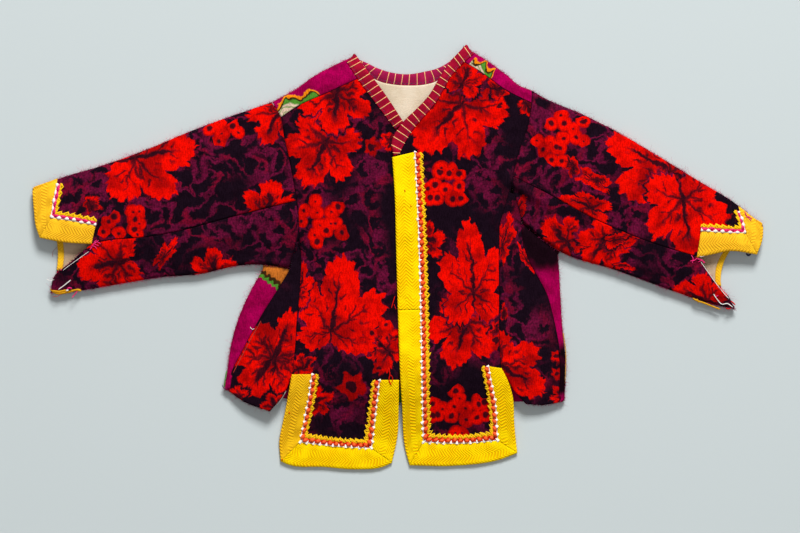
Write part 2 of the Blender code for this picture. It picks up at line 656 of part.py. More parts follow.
def build_trims():
    """The yellow tapes and the braids on the fronts and on the cuffs' front layers."""
    upper_outer = L_CENTRE.between(FRONT_JOIN, (-4, 86.5))
    lower_outer = L_CENTRE.between((11, -183), FRONT_JOIN)
    upper_inner = L_FRONT_LINE.between(FRONT_JOIN, (15, 91))
    lower_inner = L_FRONT_LINE.between((22.5, -163.5), FRONT_JOIN)
    ribbon("front_tape_upper", upper_outer, upper_inner, 18, TAPE, YELLOW_TAPE)
    ribbon("front_tape_lower", lower_outer, lower_inner, 22, TAPE, YELLOW_TAPE)
    ribbon("hem_tape_left", L_HEM, L_HEM_LINE, 10, TAPE, YELLOW_TAPE)
    ribbon("side_tape_left", L_TAB_SIDE, L_SIDE_LINE, 10, TAPE, YELLOW_TAPE)
    ribbon("side_tape_right", R_TAB_SIDE, R_SIDE_LINE, 10, TAPE, YELLOW_TAPE)
    ribbon("hem_tape_right", R_HEM, R_HEM_LINE, 10, TAPE, YELLOW_TAPE)
    inner_edge = R_CENTRE.between((-5.5, -181), (1, -108.5))
    ribbon("inner_tape_right", inner_edge, R_INNER_LINE, 10, TAPE, YELLOW_TAPE, right_front_height)
    cuff_edge = R_CUFF_FRONT.between((-313, 16.5), (-319, 53))
    ribbon("cuff_tape_right", cuff_edge, R_CUFF_LINE, 6, TAPE, YELLOW_TAPE)
    ribbon("slit_tape_right", R_SLIT.back(), R_SLIT_LINE, 6, TAPE, YELLOW_TAPE)
    cuff_edge = L_CUFF_FRONT.between((314.5, 2), (319.8, 21))
    ribbon("cuff_tape_left", cuff_edge, L_CUFF_LINE, 4, TAPE, YELLOW_TAPE)
    ribbon("slit_tape_left", L_SLIT.back(), L_SLIT_LINE, 6, TAPE, YELLOW_TAPE)
    for name, line, second, rows in BRAIDS:
        height = right_front_height if name == "braid_inner_right" else front_height
        ribbon(name, line, second, rows, BRAID, CORAL_BRAID, height, columns=1)


def build_neck():
    """The neck binding in three lengths, and the lining that shows inside the neck."""
    right_outer = Edge((-41.5, 165), (-38, 158), (-19.5, 134), (-4.5, 114.5))
    right_inner = Edge((-35, 169), (-25, 159.5), (-12, 142.5), (1.5, 122.5))
    rows = 12
    ribbon(
        "neck_binding_right", right_outer, right_inner, rows, BINDING, MAROON_BINDING,
        right_front_height,
    )
    left_outer = Edge((3, 92.5), (11, 101.5), (25, 121.5), (40.5, 144.5), (54.5, 165.5), (61.5, 173))
    left_inner = Edge(
        (-4, 88), (-4, 96.5), (5, 116.5), (17, 128.5), (27.5, 140), (37, 156), (43.5, 166),
        (53, 176.5),
    )
    rows = 16
    ribbon("neck_binding_left", left_outer, left_inner, rows, BINDING, MAROON_BINDING)
    lower = Edge(
        (-25, 158.5), (-15.5, 153), (-4.5, 150.5), (9, 149.5), (25, 150.5), (33.5, 153), (42, 159.5),
    )
    upper = BACK_NECK.between((-31, 171), (47, 172))
    patch = coons(Edge(lower(0), upper(0)), Edge(lower(1), upper(1)), lower, upper)
    inner_patch("neck_binding_back", patch, (12, 2), BINDING, MAROON_BINDING)
    foot = Edge((-20, 104), (25, 104))
    patch = coons(Edge(foot(0), lower(0)), Edge(foot(1), lower(1)), foot, lower)
    inner_patch("neck_lining", patch, (10, 5), LINING, CREAM_LINING)


def build_cuff_insides():
    """What shows inside the open cuffs: the back layer's taped edge and its lining."""
    # Columns: side, the taped edge, the tape's step inwards, the lining's far edge
    cuffs = (
        ("right", R_CUFF_BACK.between((-299, -12.5), (-307, 37)), 5.5, Edge((-262, -10), (-262, 30))),
        ("left", L_CUFF_BACK.between((284, -26.5), (306, 16)), -5.5, Edge((258, -14), (262, 22))),
    )
    for side, outer, step, far in cuffs:
        inner = Edge(*(outer(t) + np.array((step, 0)) for t in steps(0, 1, 3)))
        patch = coons(outer, inner, Edge(outer(0), inner(0)), Edge(outer(1), inner(1)))
        inner_patch(f"cuff_tape_back_{side}", patch, (1, 6), LINING, YELLOW_TAPE)
        patch = coons(inner, far, Edge(inner(0), far(0)), Edge(inner(1), far(1)))
        inner_patch(f"cuff_lining_{side}", patch, (3, 6), LINING, CREAM_LINING)


def main():
    for old in list(bpy.data.objects):
        bpy.data.objects.remove(old)
    build_back()
    build_fronts()
    build_gores()
    build_sleeve(
        "right", (R_ARMHOLE, R_ARMHOLE_BACK), R_SLEEVE_TOP, (R_SLEEVE_SEAM, R_BACK_SEAM), R_SLIT,
        R_SLEEVE_BOTTOM, (R_CUFF_FRONT, R_UNDER_END, R_CUFF_BACK),
    )
    build_sleeve(
        "left", (L_ARMHOLE, L_ARMHOLE_BACK), L_SLEEVE_TOP, (L_SLEEVE_SEAM, L_BACK_SEAM), L_SLIT,
        L_SLEEVE_BOTTOM, (L_CUFF_FRONT, L_UNDER_END, L_CUFF_BACK),
    )
    build_trims()
    build_neck()
    build_cuff_insides()


main()
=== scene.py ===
"""Looks of a child's long-sleeved folk jacket in printed wool, laid flat on its back.

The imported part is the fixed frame. Each of its plain solids is replaced here by a fine shell
on the same plan curves and the same height rule, with the cloth's creases, seams and edges,
and then come the tapes, the knotted braids, the bindings, the sewing and the nap.

Plan tables and sizes are in millimetres, with the neck towards +Y and the wearer's left
sleeve towards +X, and MM turns them into metres.
"""

import logging
import math
from dataclasses import dataclass, field
from enum import Enum
from functools import reduce
from typing import Callable, Iterable, Sequence, Union

import bmesh
import bpy
import numpy as np
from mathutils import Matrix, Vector


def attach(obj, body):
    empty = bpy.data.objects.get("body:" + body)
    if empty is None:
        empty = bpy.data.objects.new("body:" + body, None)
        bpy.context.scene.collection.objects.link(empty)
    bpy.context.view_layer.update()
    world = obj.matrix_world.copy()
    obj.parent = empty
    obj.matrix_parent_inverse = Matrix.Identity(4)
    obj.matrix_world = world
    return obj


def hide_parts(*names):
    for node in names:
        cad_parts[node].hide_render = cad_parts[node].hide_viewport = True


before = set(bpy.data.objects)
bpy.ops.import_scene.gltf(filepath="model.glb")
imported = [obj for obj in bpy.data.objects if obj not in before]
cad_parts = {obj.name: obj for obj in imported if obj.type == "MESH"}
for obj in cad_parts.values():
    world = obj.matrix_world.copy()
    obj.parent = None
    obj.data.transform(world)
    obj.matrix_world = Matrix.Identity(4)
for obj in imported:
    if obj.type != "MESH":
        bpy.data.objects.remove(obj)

LOG = logging.getLogger("folk_jacket")
MM = 0.001
BODY = "root"
CLOTH_MAP = "cloth"
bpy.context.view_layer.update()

Array = np.ndarray
Piece = bpy.types.Object
Material = bpy.types.Material
Point = tuple[float, float]
Place = Callable[[Array, Array], Array]
Surface = Callable[[Array], Array]


class Curve:
    """A smooth curve through plan points, read from 0 to 1 along its length."""

    STEPS = 10
    BLOCK = 4000

    def __init__(self, *points: Point) -> None:
        """Passes a cubic through the points.

        Args:
            points: plan points in millimetres, in order along the curve.
        """
        knots = np.array(points, float)
        reach = np.linalg.norm(np.diff(knots, axis=0), axis=1)
        slopes = np.gradient(knots, np.append(0, np.cumsum(reach)), axis=0)
        samples = [knots[:1]]
        t = np.linspace(0, 1, self.STEPS + 1)[1:, None]
        for i, length in enumerate(reach):
            samples.append(
                (2 * t**3 - 3 * t**2 + 1) * knots[i]
                + (t**3 - 2 * t**2 + t) * slopes[i] * length
                + (3 * t**2 - 2 * t**3) * knots[i + 1]
                + (t**3 - t**2) * slopes[i + 1] * length
            )
        self.set_samples(np.concatenate(samples))

    def set_samples(self, samples: Array) -> None:
        """Takes the curve's close-set points and works out how far along each one is.

        Args:
            samples: close-set points in millimetres.
        """
        self.samples = samples
        steps = np.linalg.norm(np.diff(samples, axis=0), axis=1)
        self.length = float(steps.sum())
        self.reach = np.append(0, np.cumsum(steps)) / self.length

    @classmethod
    def of(cls, samples: Array) -> "Curve":
        """A curve straight from its close-set points.

        Args:
            samples: close-set points in millimetres.
        Returns:
            The curve.
        """
        made = cls.__new__(cls)
        made.set_samples(np.asarray(samples, float))
        return made

    def __call__(self, share: Array | float) -> Array:
        """The plan points at shares of the way along."""
        return np.stack([np.interp(share, self.reach, axis) for axis in self.samples.T], -1)

    def near(self, points: Array) -> tuple[Array, Array]:
        """Finds where on the curve lies nearest to each plan point.

        Args:
            points: plan points, one a row.
        Returns:
            The distance from each point, and the share of the way along the curve.
        """
        points = np.atleast_2d(points)
        gaps, shares = np.empty(len(points)), np.empty(len(points))
        start, step = self.samples[:-1], np.diff(self.samples, axis=0)
        square = np.maximum((step**2).sum(1), 1e-9)
        for first in range(0, len(points), self.BLOCK):
            offset = points[first:first + self.BLOCK, None] - start
            along = np.clip((offset * step).sum(2) / square, 0, 1)
            distance = np.linalg.norm(offset - along[..., None] * step, axis=2)
            best = distance.argmin(1)
            rows = np.arange(len(best))
            gaps[first:first + self.BLOCK] = distance[rows, best]
            spread = self.reach[best + 1] - self.reach[best]
            shares[first:first + self.BLOCK] = self.reach[best] + along[rows, best] * spread
        return gaps, shares

    def share_at(self, point: Point) -> float:
        """How far along the curve lies nearest to one point."""
        return float(self.near(np.array(point))[1][0])

    def between(self, first: Point, last: Point) -> "Curve":
        """The stretch from the point nearest first to the point nearest last.

        Args:
            first: a plan point near its start.
            last: a plan point near its end.
        Returns:
            The stretch, which runs from first to last.
        """
        start, end = self.share_at(first), self.share_at(last)
        low, high = min(start, end), max(start, end)
        inner = self.reach[(self.reach > low) & (self.reach < high)]
        shares = np.concatenate([[low], inner, [high]])
        return Curve.of(self(shares if start < end else shares[::-1]))

    def then(self, other: "Curve") -> "Curve":
        """This curve followed by another that starts where it ends."""
        return Curve.of(np.concatenate([self.samples, other.samples[1:]]))

    def ending_at(self, point: Array) -> "Curve":
        """The same curve with its last point moved."""
        return Curve.of(np.concatenate([self.samples[:-1], [point]]))

    def back(self) -> "Curve":
        """The same curve read the other way."""
        return Curve.of(self.samples[::-1])


@dataclass(frozen=True)
class HalfPlan:
    """The plan curves of one half of the jacket, as it lies."""

    shoulder_fold: Curve
    shoulder_seam: Curve
    neck: Curve
    armhole: Curve
    armhole_back: Curve
    sleeve_top: Curve
    sleeve_seam: Curve
    slit: Curve
    sleeve_bottom: Curve
    back_seam: Curve
    cuff_front: Curve
    under_end: Curve
    cuff_back: Curve
    side_fold: Curve
    strip_seam: Curve
    strip_foot: Curve
    gore_seam: Curve
    gore_slit: Curve
    gore_hem: Curve
    tab_side: Curve
    centre: Curve
    hem: Curve
    side_line: Curve
    hem_line: Curve
    front_line: Curve
    cuff_line: Curve
    slit_line: Curve


RIGHT = HalfPlan(
    shoulder_fold=Curve((-110, 135), (-98.5, 141), (-88, 147), (-75, 156.5), (-59, 165.5), (-36.5, 176)),
    shoulder_seam=Curve((-102, 121.5), (-87, 131.5), (-62.5, 142.5), (-35.5, 155), (-25, 159.5)),
    neck=Curve((-25, 159.5), (-12, 142.5), (5.5, 116.5)),
    armhole=Curve(
        (-94.5, -10.5), (-92, -1), (-88.8, 12), (-86.5, 24), (-88.5, 48.5), (-94, 81),
        (-99.5, 106), (-102, 121.5), (-110, 135),
    ),
    armhole_back=Curve(
        (-94.5, -10.5), (-91, 10), (-90, 24), (-91.5, 60), (-96.5, 95), (-102, 121.5), (-110, 135),
    ),
    sleeve_top=Curve(
        (-110, 135), (-136, 126), (-159, 118), (-185, 108), (-221, 93), (-263, 78), (-293.5, 69),
        (-319.5, 58),
    ),
    sleeve_seam=Curve((-88.5, 48.5), (-146, 34), (-197.5, 20.5), (-221, 16.5), (-251.5, 14), (-267.5, 11)),
    slit=Curve((-267.5, 11), (-291, 12.5), (-313, 16.5)),
    sleeve_bottom=Curve(
        (-94.5, -10.5), (-127.5, -7.5), (-139.5, -8.5), (-174, -16), (-205.5, -18.5), (-243, -24.5),
        (-279, -30.5), (-304, -32.5),
    ),
    back_seam=Curve((-90, 24), (-138, 9), (-208, -5.5), (-260.5, -12), (-299, -12.5)),
    cuff_front=Curve((-313, 16.5), (-316.5, 27), (-318, 40.5), (-319.5, 58)),
    under_end=Curve((-267.5, 11), (-286.5, -5.5), (-302, -20), (-304, -32.5)),
    cuff_back=Curve((-304, -32.5), (-299, -12.5), (-299, 14), (-307, 37), (-319.5, 58)),
    side_fold=Curve(
        (-152, -117.5), (-149.5, -102.5), (-146, -78), (-139, -53.5), (-128.5, -30), (-118.5, -12.5),
    ),
    strip_seam=Curve((-148.5, -118), (-146, -103.5), (-136, -83), (-124, -60.5), (-104, -28), (-95, -13.5)),
    strip_foot=Curve((-92.5, -126), (-94.5, -13.5)),
    gore_seam=Curve((-92, -103.5), (-89.5, -80.5), (-88, -55), (-85.5, -27), (-84.5, -3.5), (-86.5, 24)),
    gore_slit=Curve((-111.5, -136.5), (-99.5, -121), (-92, -103.5)),
    gore_hem=Curve((-148.5, -118), (-136, -127), (-111.5, -136.5)),
    tab_side=Curve((-102, -179.5), (-103, -161), (-100, -145.5), (-96, -126), (-92, -103.5)),
    centre=Curve(
        (-5.5, -181), (-0.5, -156.5), (0.5, -129.5), (1, -107), (4, -82.5), (5.5, -38.5), (6.5, 31.5),
        (6.5, 84), (5.5, 116.5),
    ),
    hem=Curve((-102, -179.5), (-96.5, -182), (-64.5, -184.5), (-35, -186.5), (-13.5, -184.5), (-5.5, -181)),
    side_line=Curve((-85.5, -163.5), (-82, -143.5), (-77.5, -121.5), (-75, -103.5)),
    hem_line=Curve((-85.5, -163.5), (-54.5, -167), (-22.5, -169)),
    front_line=Curve((-22.5, -169), (-19, -139), (-15.5, -108.5)),
    cuff_line=Curve((-303.5, 33.5), (-301.5, 48), (-298.5, 63)),
    slit_line=Curve((-303.5, 33.5), (-282.5, 30), (-264, 26.5)),
)

LEFT = HalfPlan(
    shoulder_fold=Curve((58, 184), (81, 169.5), (96, 158.5), (106, 150), (118, 145)),
    shoulder_seam=Curve((50.5, 174), (62, 168), (75.5, 159.5), (94, 146), (117.5, 134)),
    neck=Curve((-4, 86.5), (-4, 96.5), (5, 116.5), (17, 128.5), (27.5, 140), (37, 156), (43.5, 166), (50.5, 174)),
    armhole=Curve(
        (109, 30.5), (106, 42), (102.5, 54.5), (101, 68.5), (103.5, 82), (110.5, 103.5), (115.5, 121),
        (117.5, 134), (118, 145),
    ),
    armhole_back=Curve(
        (109, 30.5), (104.8, 50), (104.5, 75), (110, 103), (115.5, 121), (117.5, 134), (118, 145),
    ),
    sleeve_top=Curve(
        (118, 145), (127, 139.5), (161.5, 124.5), (195, 107.5), (223, 91), (261.5, 67.5), (300.5, 43),
        (320, 26),
    ),
    sleeve_seam=Curve((101, 70), (129, 56), (167.5, 35), (223, 11.5), (262, -0.5)),
    slit=Curve((262, -0.5), (274.5, 2), (291, 5), (314.5, 2)),
    sleeve_bottom=Curve(
        (109, 30.5), (119.5, 21), (141.5, 4.5), (191.5, -12.5), (246.5, -32.5), (274.5, -42), (295.5, -46.5),
    ),
    back_seam=Curve((104.8, 50), (168.5, 14), (221, -10.5), (284, -26.5)),
    cuff_front=Curve((314.5, 2), (319, 14), (320, 26)),
    under_end=Curve((262, -0.5), (279.5, -24.5), (291, -37), (295.5, -46.5)),
    cuff_back=Curve((295.5, -46.5), (284, -26.5), (291, 3.5), (306, 16), (320, 26)),
    side_fold=Curve((146.5, -127), (147.5, -92), (145, -67.5), (142.5, -28), (141.5, -10.5), (140.5, 0)),
    strip_seam=Curve(
        (142.5, -128.5), (143.5, -93.5), (140.5, -72.5), (136, -51.5), (131, -34), (123, -18.5), (116, -6),
        (111.5, 6), (109.5, 15), (109, 24),
    ),
    strip_foot=Curve((89.5, -128.5), (109, 24)),
    gore_seam=Curve((90.5, -98), (89, -73.5), (89, -38.5), (89, 9.5), (89.5, 26.5), (95, 46), (101, 68.5)),
    gore_slit=Curve((112.5, -130), (105.5, -122.5), (90.5, -98)),
    gore_hem=Curve((112.5, -130), (129, -130.5), (142.5, -128.5)),
    tab_side=Curve((104.5, -172.5), (102, -149), (100, -121.5), (95, -106), (90.5, -98)),
    centre=Curve((11, -183), (7.5, -170), (4.5, -129.5), (3, -105), (1.5, -65), (-0.5, 5.5), (-2, 58), (-4, 86.5)),
    hem=Curve((11, -183), (48, -183.5), (91.5, -177.5), (104.5, -172.5)),
    side_line=Curve((88, -162), (85.5, -126), (82, -108.5), (80, -96.5)),
    hem_line=Curve((22.5, -163.5), (54.5, -164.5), (88, -162)),
    front_line=Curve((22.5, -163.5), (21.5, -126), (20.5, -65), (19, -3.5), (17, 49), (15, 91)),
    cuff_line=Curve((305, 20), (303, 30), (299.5, 38.5)),
    slit_line=Curve((305, 20), (284, 20.5), (265.5, 22)),
)

BACK_NECK = Curve(
    (-33.5, 172), (-27.5, 169.5), (-19, 165), (-7.5, 161), (9, 159), (25, 161.5), (33, 163.5),
    (43.5, 169), (55.2, 180.1),
)
BACK_HEM = Curve((-92.5, -126), (-0.5, -128.5), (89.5, -128.5))


def smooth(t: Array) -> Array:
    """A soft step from 0 to 1."""
    t = np.clip(t, 0.0, 1.0)
    return t * t * (3 - 2 * t)


def between(ends: Point, share: Array) -> Array:
    """Values that run evenly from the first end to the second."""
    return ends[0] + (ends[1] - ends[0]) * share


def ripple(points: Array, pitch: float, phase: float) -> Array:
    """Soft uneven waves over the plan, from about -1 to 1.

    Args:
        points: plan points, one a row.
        pitch: the waves' usual length.
        phase: shifts the pattern, so that no two uses are alike.
    Returns:
        One value for each point.
    """
    total = np.zeros(len(points))
    for turn, stretch, weight in ((0.3, 1.0, 0.5), (1.45, 0.62, 0.3), (2.5, 1.37, 0.3), (3.9, 0.45, 0.2)):
        heading = np.array((math.cos(turn + phase), math.sin(turn + phase)))
        total += weight * np.sin(points @ heading * 2 * math.pi / (pitch * stretch) + 5 * phase + turn)
    return total


@dataclass(frozen=True)
class Crease:
    """A soft ridge, or a trough where height is below 0, between two plan points."""

    start: Point
    end: Point
    half_width: float
    height: float

    def rise(self, points: Array) -> Array:
        """What the crease adds to the height at each plan point.

        Args:
            points: plan points in millimetres.
        Returns:
            What it adds at each point in millimetres.
        """
        start, run = np.array(self.start), np.array(self.end) - np.array(self.start)
        along = np.clip((points - start) @ run / (run @ run), 0, 1)
        across = np.linalg.norm(points - start - along[:, None] * run, axis=1)
        return self.height * np.exp(-((across / self.half_width) ** 2))


@dataclass(frozen=True)
class Lay:
    """How high the upper layer lies over each plan point, and its relief."""

    cloth: float = 1.8
    full_height: float = 19.0
    rise_length: float = 32.0
    radius_blend: float = 12.0
    shoulder_radius: float = 4.5
    sleeve_radii: Point = (4.5, 3.6)
    side_radii: Point = (2.5, 3.4)
    relief_levels: Point = (6.5, 10.5)
    droop_levels: Point = (-92.0, -172.0)
    overlap_sink: float = 2.7
    overlap_reach: float = 16.0
    overlap_levels: Point = (-108.0, -84.0)
    overlap_edge: Curve = field(default_factory=lambda: LEFT.centre.then(LEFT.neck))

    def folds(self) -> Iterable[tuple[Curve, float, float]]:
        """The folds round which the cloth turns under: curve, radius at its start and end."""
        for half in (RIGHT, LEFT):
            yield half.shoulder_fold, self.shoulder_radius, self.shoulder_radius
            yield half.sleeve_top, *self.sleeve_radii
            yield half.sleeve_bottom, *self.sleeve_radii
            yield half.side_fold, *self.side_radii

    def open_edges(self) -> Iterable[tuple[Curve, float, float]]:
        """Edges near which the layers lie closer: curve, share of the puff lost, reach."""
        for half in (RIGHT, LEFT):
            yield half.cuff_front, 0.55, 30.0
            yield half.gore_hem, 0.40, 30.0
            yield half.neck, 0.30, 30.0

    def plain(self, points: Array) -> Array:
        """The upper layer's height without the fine relief.

        Args:
            points: plan points in millimetres.
        Returns:
            A height for each in millimetres.
        """
        weights, radii, puff = [], [], np.ones(len(points))
        for curve, *ends in self.folds():
            gap, share = curve.near(points)
            radius = between(ends, share)
            weights.append(np.exp(-gap / self.radius_blend) + 1e-9)
            radii.append(radius)
            puff *= 1 - np.exp(-np.maximum(gap - radius, 0) / self.rise_length)
        rim = 2 * np.average(radii, axis=0, weights=weights)
        for curve, share, reach in self.open_edges():
            puff *= 1 - share * np.exp(-curve.near(points)[0] / reach)
        folds = sum(crease.rise(points) for crease in FORM_CREASES)
        return rim + (self.full_height - rim) * puff + folds * np.minimum(1.0, 4 * puff)

    def top(self, points: Array) -> Array:
        """The upper layer's height, with the fine creases and ripples of the cloth.

        Args:
            points: plan points in millimetres.
        Returns:
            A height for each in millimetres.
        """
        level = self.plain(points)
        low, high = self.relief_levels
        clear = np.clip((level - low) / (high - low), 0, 1)
        relief = sum(crease.rise(points) for crease in FINE_CREASES)
        relief = relief + 0.30 * ripple(points, 46.0, 0.7) + 0.13 * ripple(points, 17.0, 2.1)
        return level + relief * clear

    def turned_down(self, points: Array, level: Array, folds: Sequence[Curve], radii: Point) -> Array:
        """Heights that come down round folds, whose radius changes along them.

        Args:
            points: plan points in millimetres.
            level: their heights.
            folds: the folds that they come down round.
            radii: the radius at each fold's start and end.
        Returns:
            Their new heights.
        """
        for fold in folds:
            gap, share = fold.near(points)
            radius = between(radii, share)
            short = np.clip(radius - gap, 0, radius)
            level = level - (radius - np.sqrt(radius**2 - short**2))
        return level

    def rounded(self, points: Array) -> Array:
        """The sleeves' height, which comes down round their upper folds."""
        folds = (RIGHT.sleeve_top, LEFT.sleeve_top)
        return self.turned_down(points, self.top(points), folds, self.sleeve_radii)

    def over_shoulders(self, rule: Surface) -> Surface:
        """A height rule, brought down round the shoulders' folds."""
        folds, radii = (RIGHT.shoulder_fold, LEFT.shoulder_fold), (self.shoulder_radius,) * 2
        return lambda points: self.turned_down(points, rule(points), folds, radii)

    def under(self, points: Array) -> Array:
        """The height of the layer that lies on the surface, with its slight waves."""
        return 0.16 * (1 + ripple(points, 52.0, 3.3)).clip(0, 2)

    def front(self, points: Array) -> Array:
        """The height on the fronts, whose tabs droop on to the surface.

        Args:
            points: plan points in millimetres.
        Returns:
            A height for each in millimetres.
        """
        level = self.top(points)
        low, high = self.droop_levels
        droop = smooth((points[:, 1] - low) / (high - low))
        rest = self.cloth + 0.35 * droop * (1 + ripple(points, 38.0, 1.3)) * (1 - droop)
        return level + (rest - level) * droop

    def right_front(self, points: Array) -> Array:
        """The height on the right front, sunk where the left one lies over it.

        Args:
            points: plan points in millimetres.
        Returns:
            A height for each in millimetres.
        """
        edge = self.overlap_edge.samples
        edge_x = np.interp(points[:, 1], edge[:, 1], edge[:, 0])
        sink = smooth(1 - (edge_x - 2 - points[:, 0]) / self.overlap_reach)
        low, high = self.overlap_levels
        level = smooth((points[:, 1] - low) / (high - low))
        return self.front(points) - self.overlap_sink * sink * level


# The largest folds, as in the solids: start, end, half width and height
FORM_CREASES = tuple(Crease(*row) for row in (
    ((-104, 112), (-87, 40), 8, -1.6),
    ((-86, 22), (-92, -100), 7, -0.9),
    ((102, 84), (116, 122), 8, -1.6),
    ((89, 20), (90, -92), 7, -0.9),
    ((101, 66), (131, 46), 6, 1.6),
    ((104, 76), (200, 28), 8, -1.0),
    ((-100, 46), (-196, 22), 8, -1.0),
    ((-128, -2), (-100, 26), 7, 1.2),
    ((-168, 92), (-158, 60), 9, 1.0),
    ((-232, 60), (-214, 34), 9, -0.9),
    ((176, 96), (168, 62), 9, 1.0),
    ((238, 60), (226, 34), 9, -0.9),
    ((-74, 96), (-60, -60), 12, 0.9),
    ((70, 110), (62, -70), 12, 0.9),
    ((-128, -52), (-112, -104), 8, -0.9),
    ((124, -44), (122, -104), 8, 0.9),
))

# Finer creases of the cloth, uneven in length, depth and place
FINE_CREASES = tuple(Crease(*row) for row in (
    ((101, 64), (125, 48), 3.0, 0.9),
    ((103, 56), (116, 46), 2.6, -1.4),
    ((104, 30), (137, -30), 3.0, -1.1),
    ((98, 34), (112, -12), 3.2, 0.8),
    ((112, -20), (128, -80), 4.0, -0.9),
    ((102, 10), (104, -66), 4.5, 0.7),
    ((126, 62), (156, 44), 3.4, 0.6),
    ((112, 92), (138, 78), 4.0, -0.7),
    ((118, 112), (150, 98), 5.0, 0.5),
    ((-92, 30), (-122, 10), 3.2, -1.0),
    ((-90, 44), (-130, 26), 3.2, 0.6),
    ((-94, 62), (-136, 54), 4.6, -0.7),
    ((-98, 96), (-140, 92), 5.0, 0.5),
    ((-90, 4), (-100, -40), 3.6, -0.9),
    ((-94, -30), (-116, -86), 4.5, 0.6),
    ((-78, 70), (-84, 10), 4.0, -0.6),
    ((-60, 132), (-70, 90), 6.0, -0.5),
    ((-28, 60), (-34, -10), 7.0, -0.5),
    ((-50, 10), (-46, -70), 6.0, 0.45),
    ((44, 120), (36, 60), 6.5, -0.5),
    ((78, 96), (74, 20), 5.0, -0.7),
    ((50, 10), (56, -60), 7.0, 0.5),
    ((34, -20), (38, -80), 5.0, -0.4),
    ((-180, 84), (-206, 52), 5.0, -0.6),
    ((-204, 82), (-230, 64), 5.0, 0.5),
    ((-252, 62), (-270, 40), 4.5, -0.5),
    ((-140, 22), (-176, 4), 4.0, 0.5),
    ((-210, 6), (-250, -12), 4.0, -0.5),
    ((196, 84), (186, 54), 5.0, -0.6),
    ((216, 74), (206, 42), 5.5, 0.5),
    ((256, 52), (244, 26), 5.0, -0.5),
    ((150, 34), (190, 8), 4.0, -0.6),
    ((176, 6), (222, -14), 4.0, 0.5),
    ((236, -14), (268, -30), 4.0, -0.4),
))
LAY = Lay()


def piece_of(name: str, bm: bmesh.types.BMesh, finishes: Sequence[Material]) -> Piece:
    """An object in the scene made from a bmesh, with its materials.

    Args:
        name: the object's name.
        bm: its mesh, which is freed.
        finishes: its materials, in slot order.
    Returns:
        The new object.
    """
    mesh = bpy.data.meshes.new(name)
    bm.to_mesh(mesh)
    bm.free()
    for material in finishes:
        mesh.materials.append(material)
    piece = bpy.data.objects.new(name, mesh)
    bpy.context.collection.objects.link(piece)
    return piece


def trim(piece: Piece, node: str | None = None) -> Piece:
    """Puts a piece that isn't cloth on the body, in a CAD node's place where it stands for one.

    Args:
        piece: the finished object.
        node: the CAD node that it stands for, or None.
    Returns:
        The same object.
    """
    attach(piece, BODY)
    if node:
        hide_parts(node)
    LOG.info("%s: %d faces", piece.name, len(piece.data.polygons))
    return piece


def column_of(u: Array) -> Array:
    """Whole column numbers."""
    return np.rint(u).astype(int)


def run_along(profile: Array) -> Array:
    """How far along a profile each of its points is."""
    return np.append(0, np.cumsum(np.linalg.norm(np.diff(profile, axis=0), axis=1)))


def chord(first: Curve, second: Curve, share: float) -> Curve:
    """The straight line between two curves' points at the same share of the way."""
    return Curve(tuple(first(share)), tuple(second(share)))


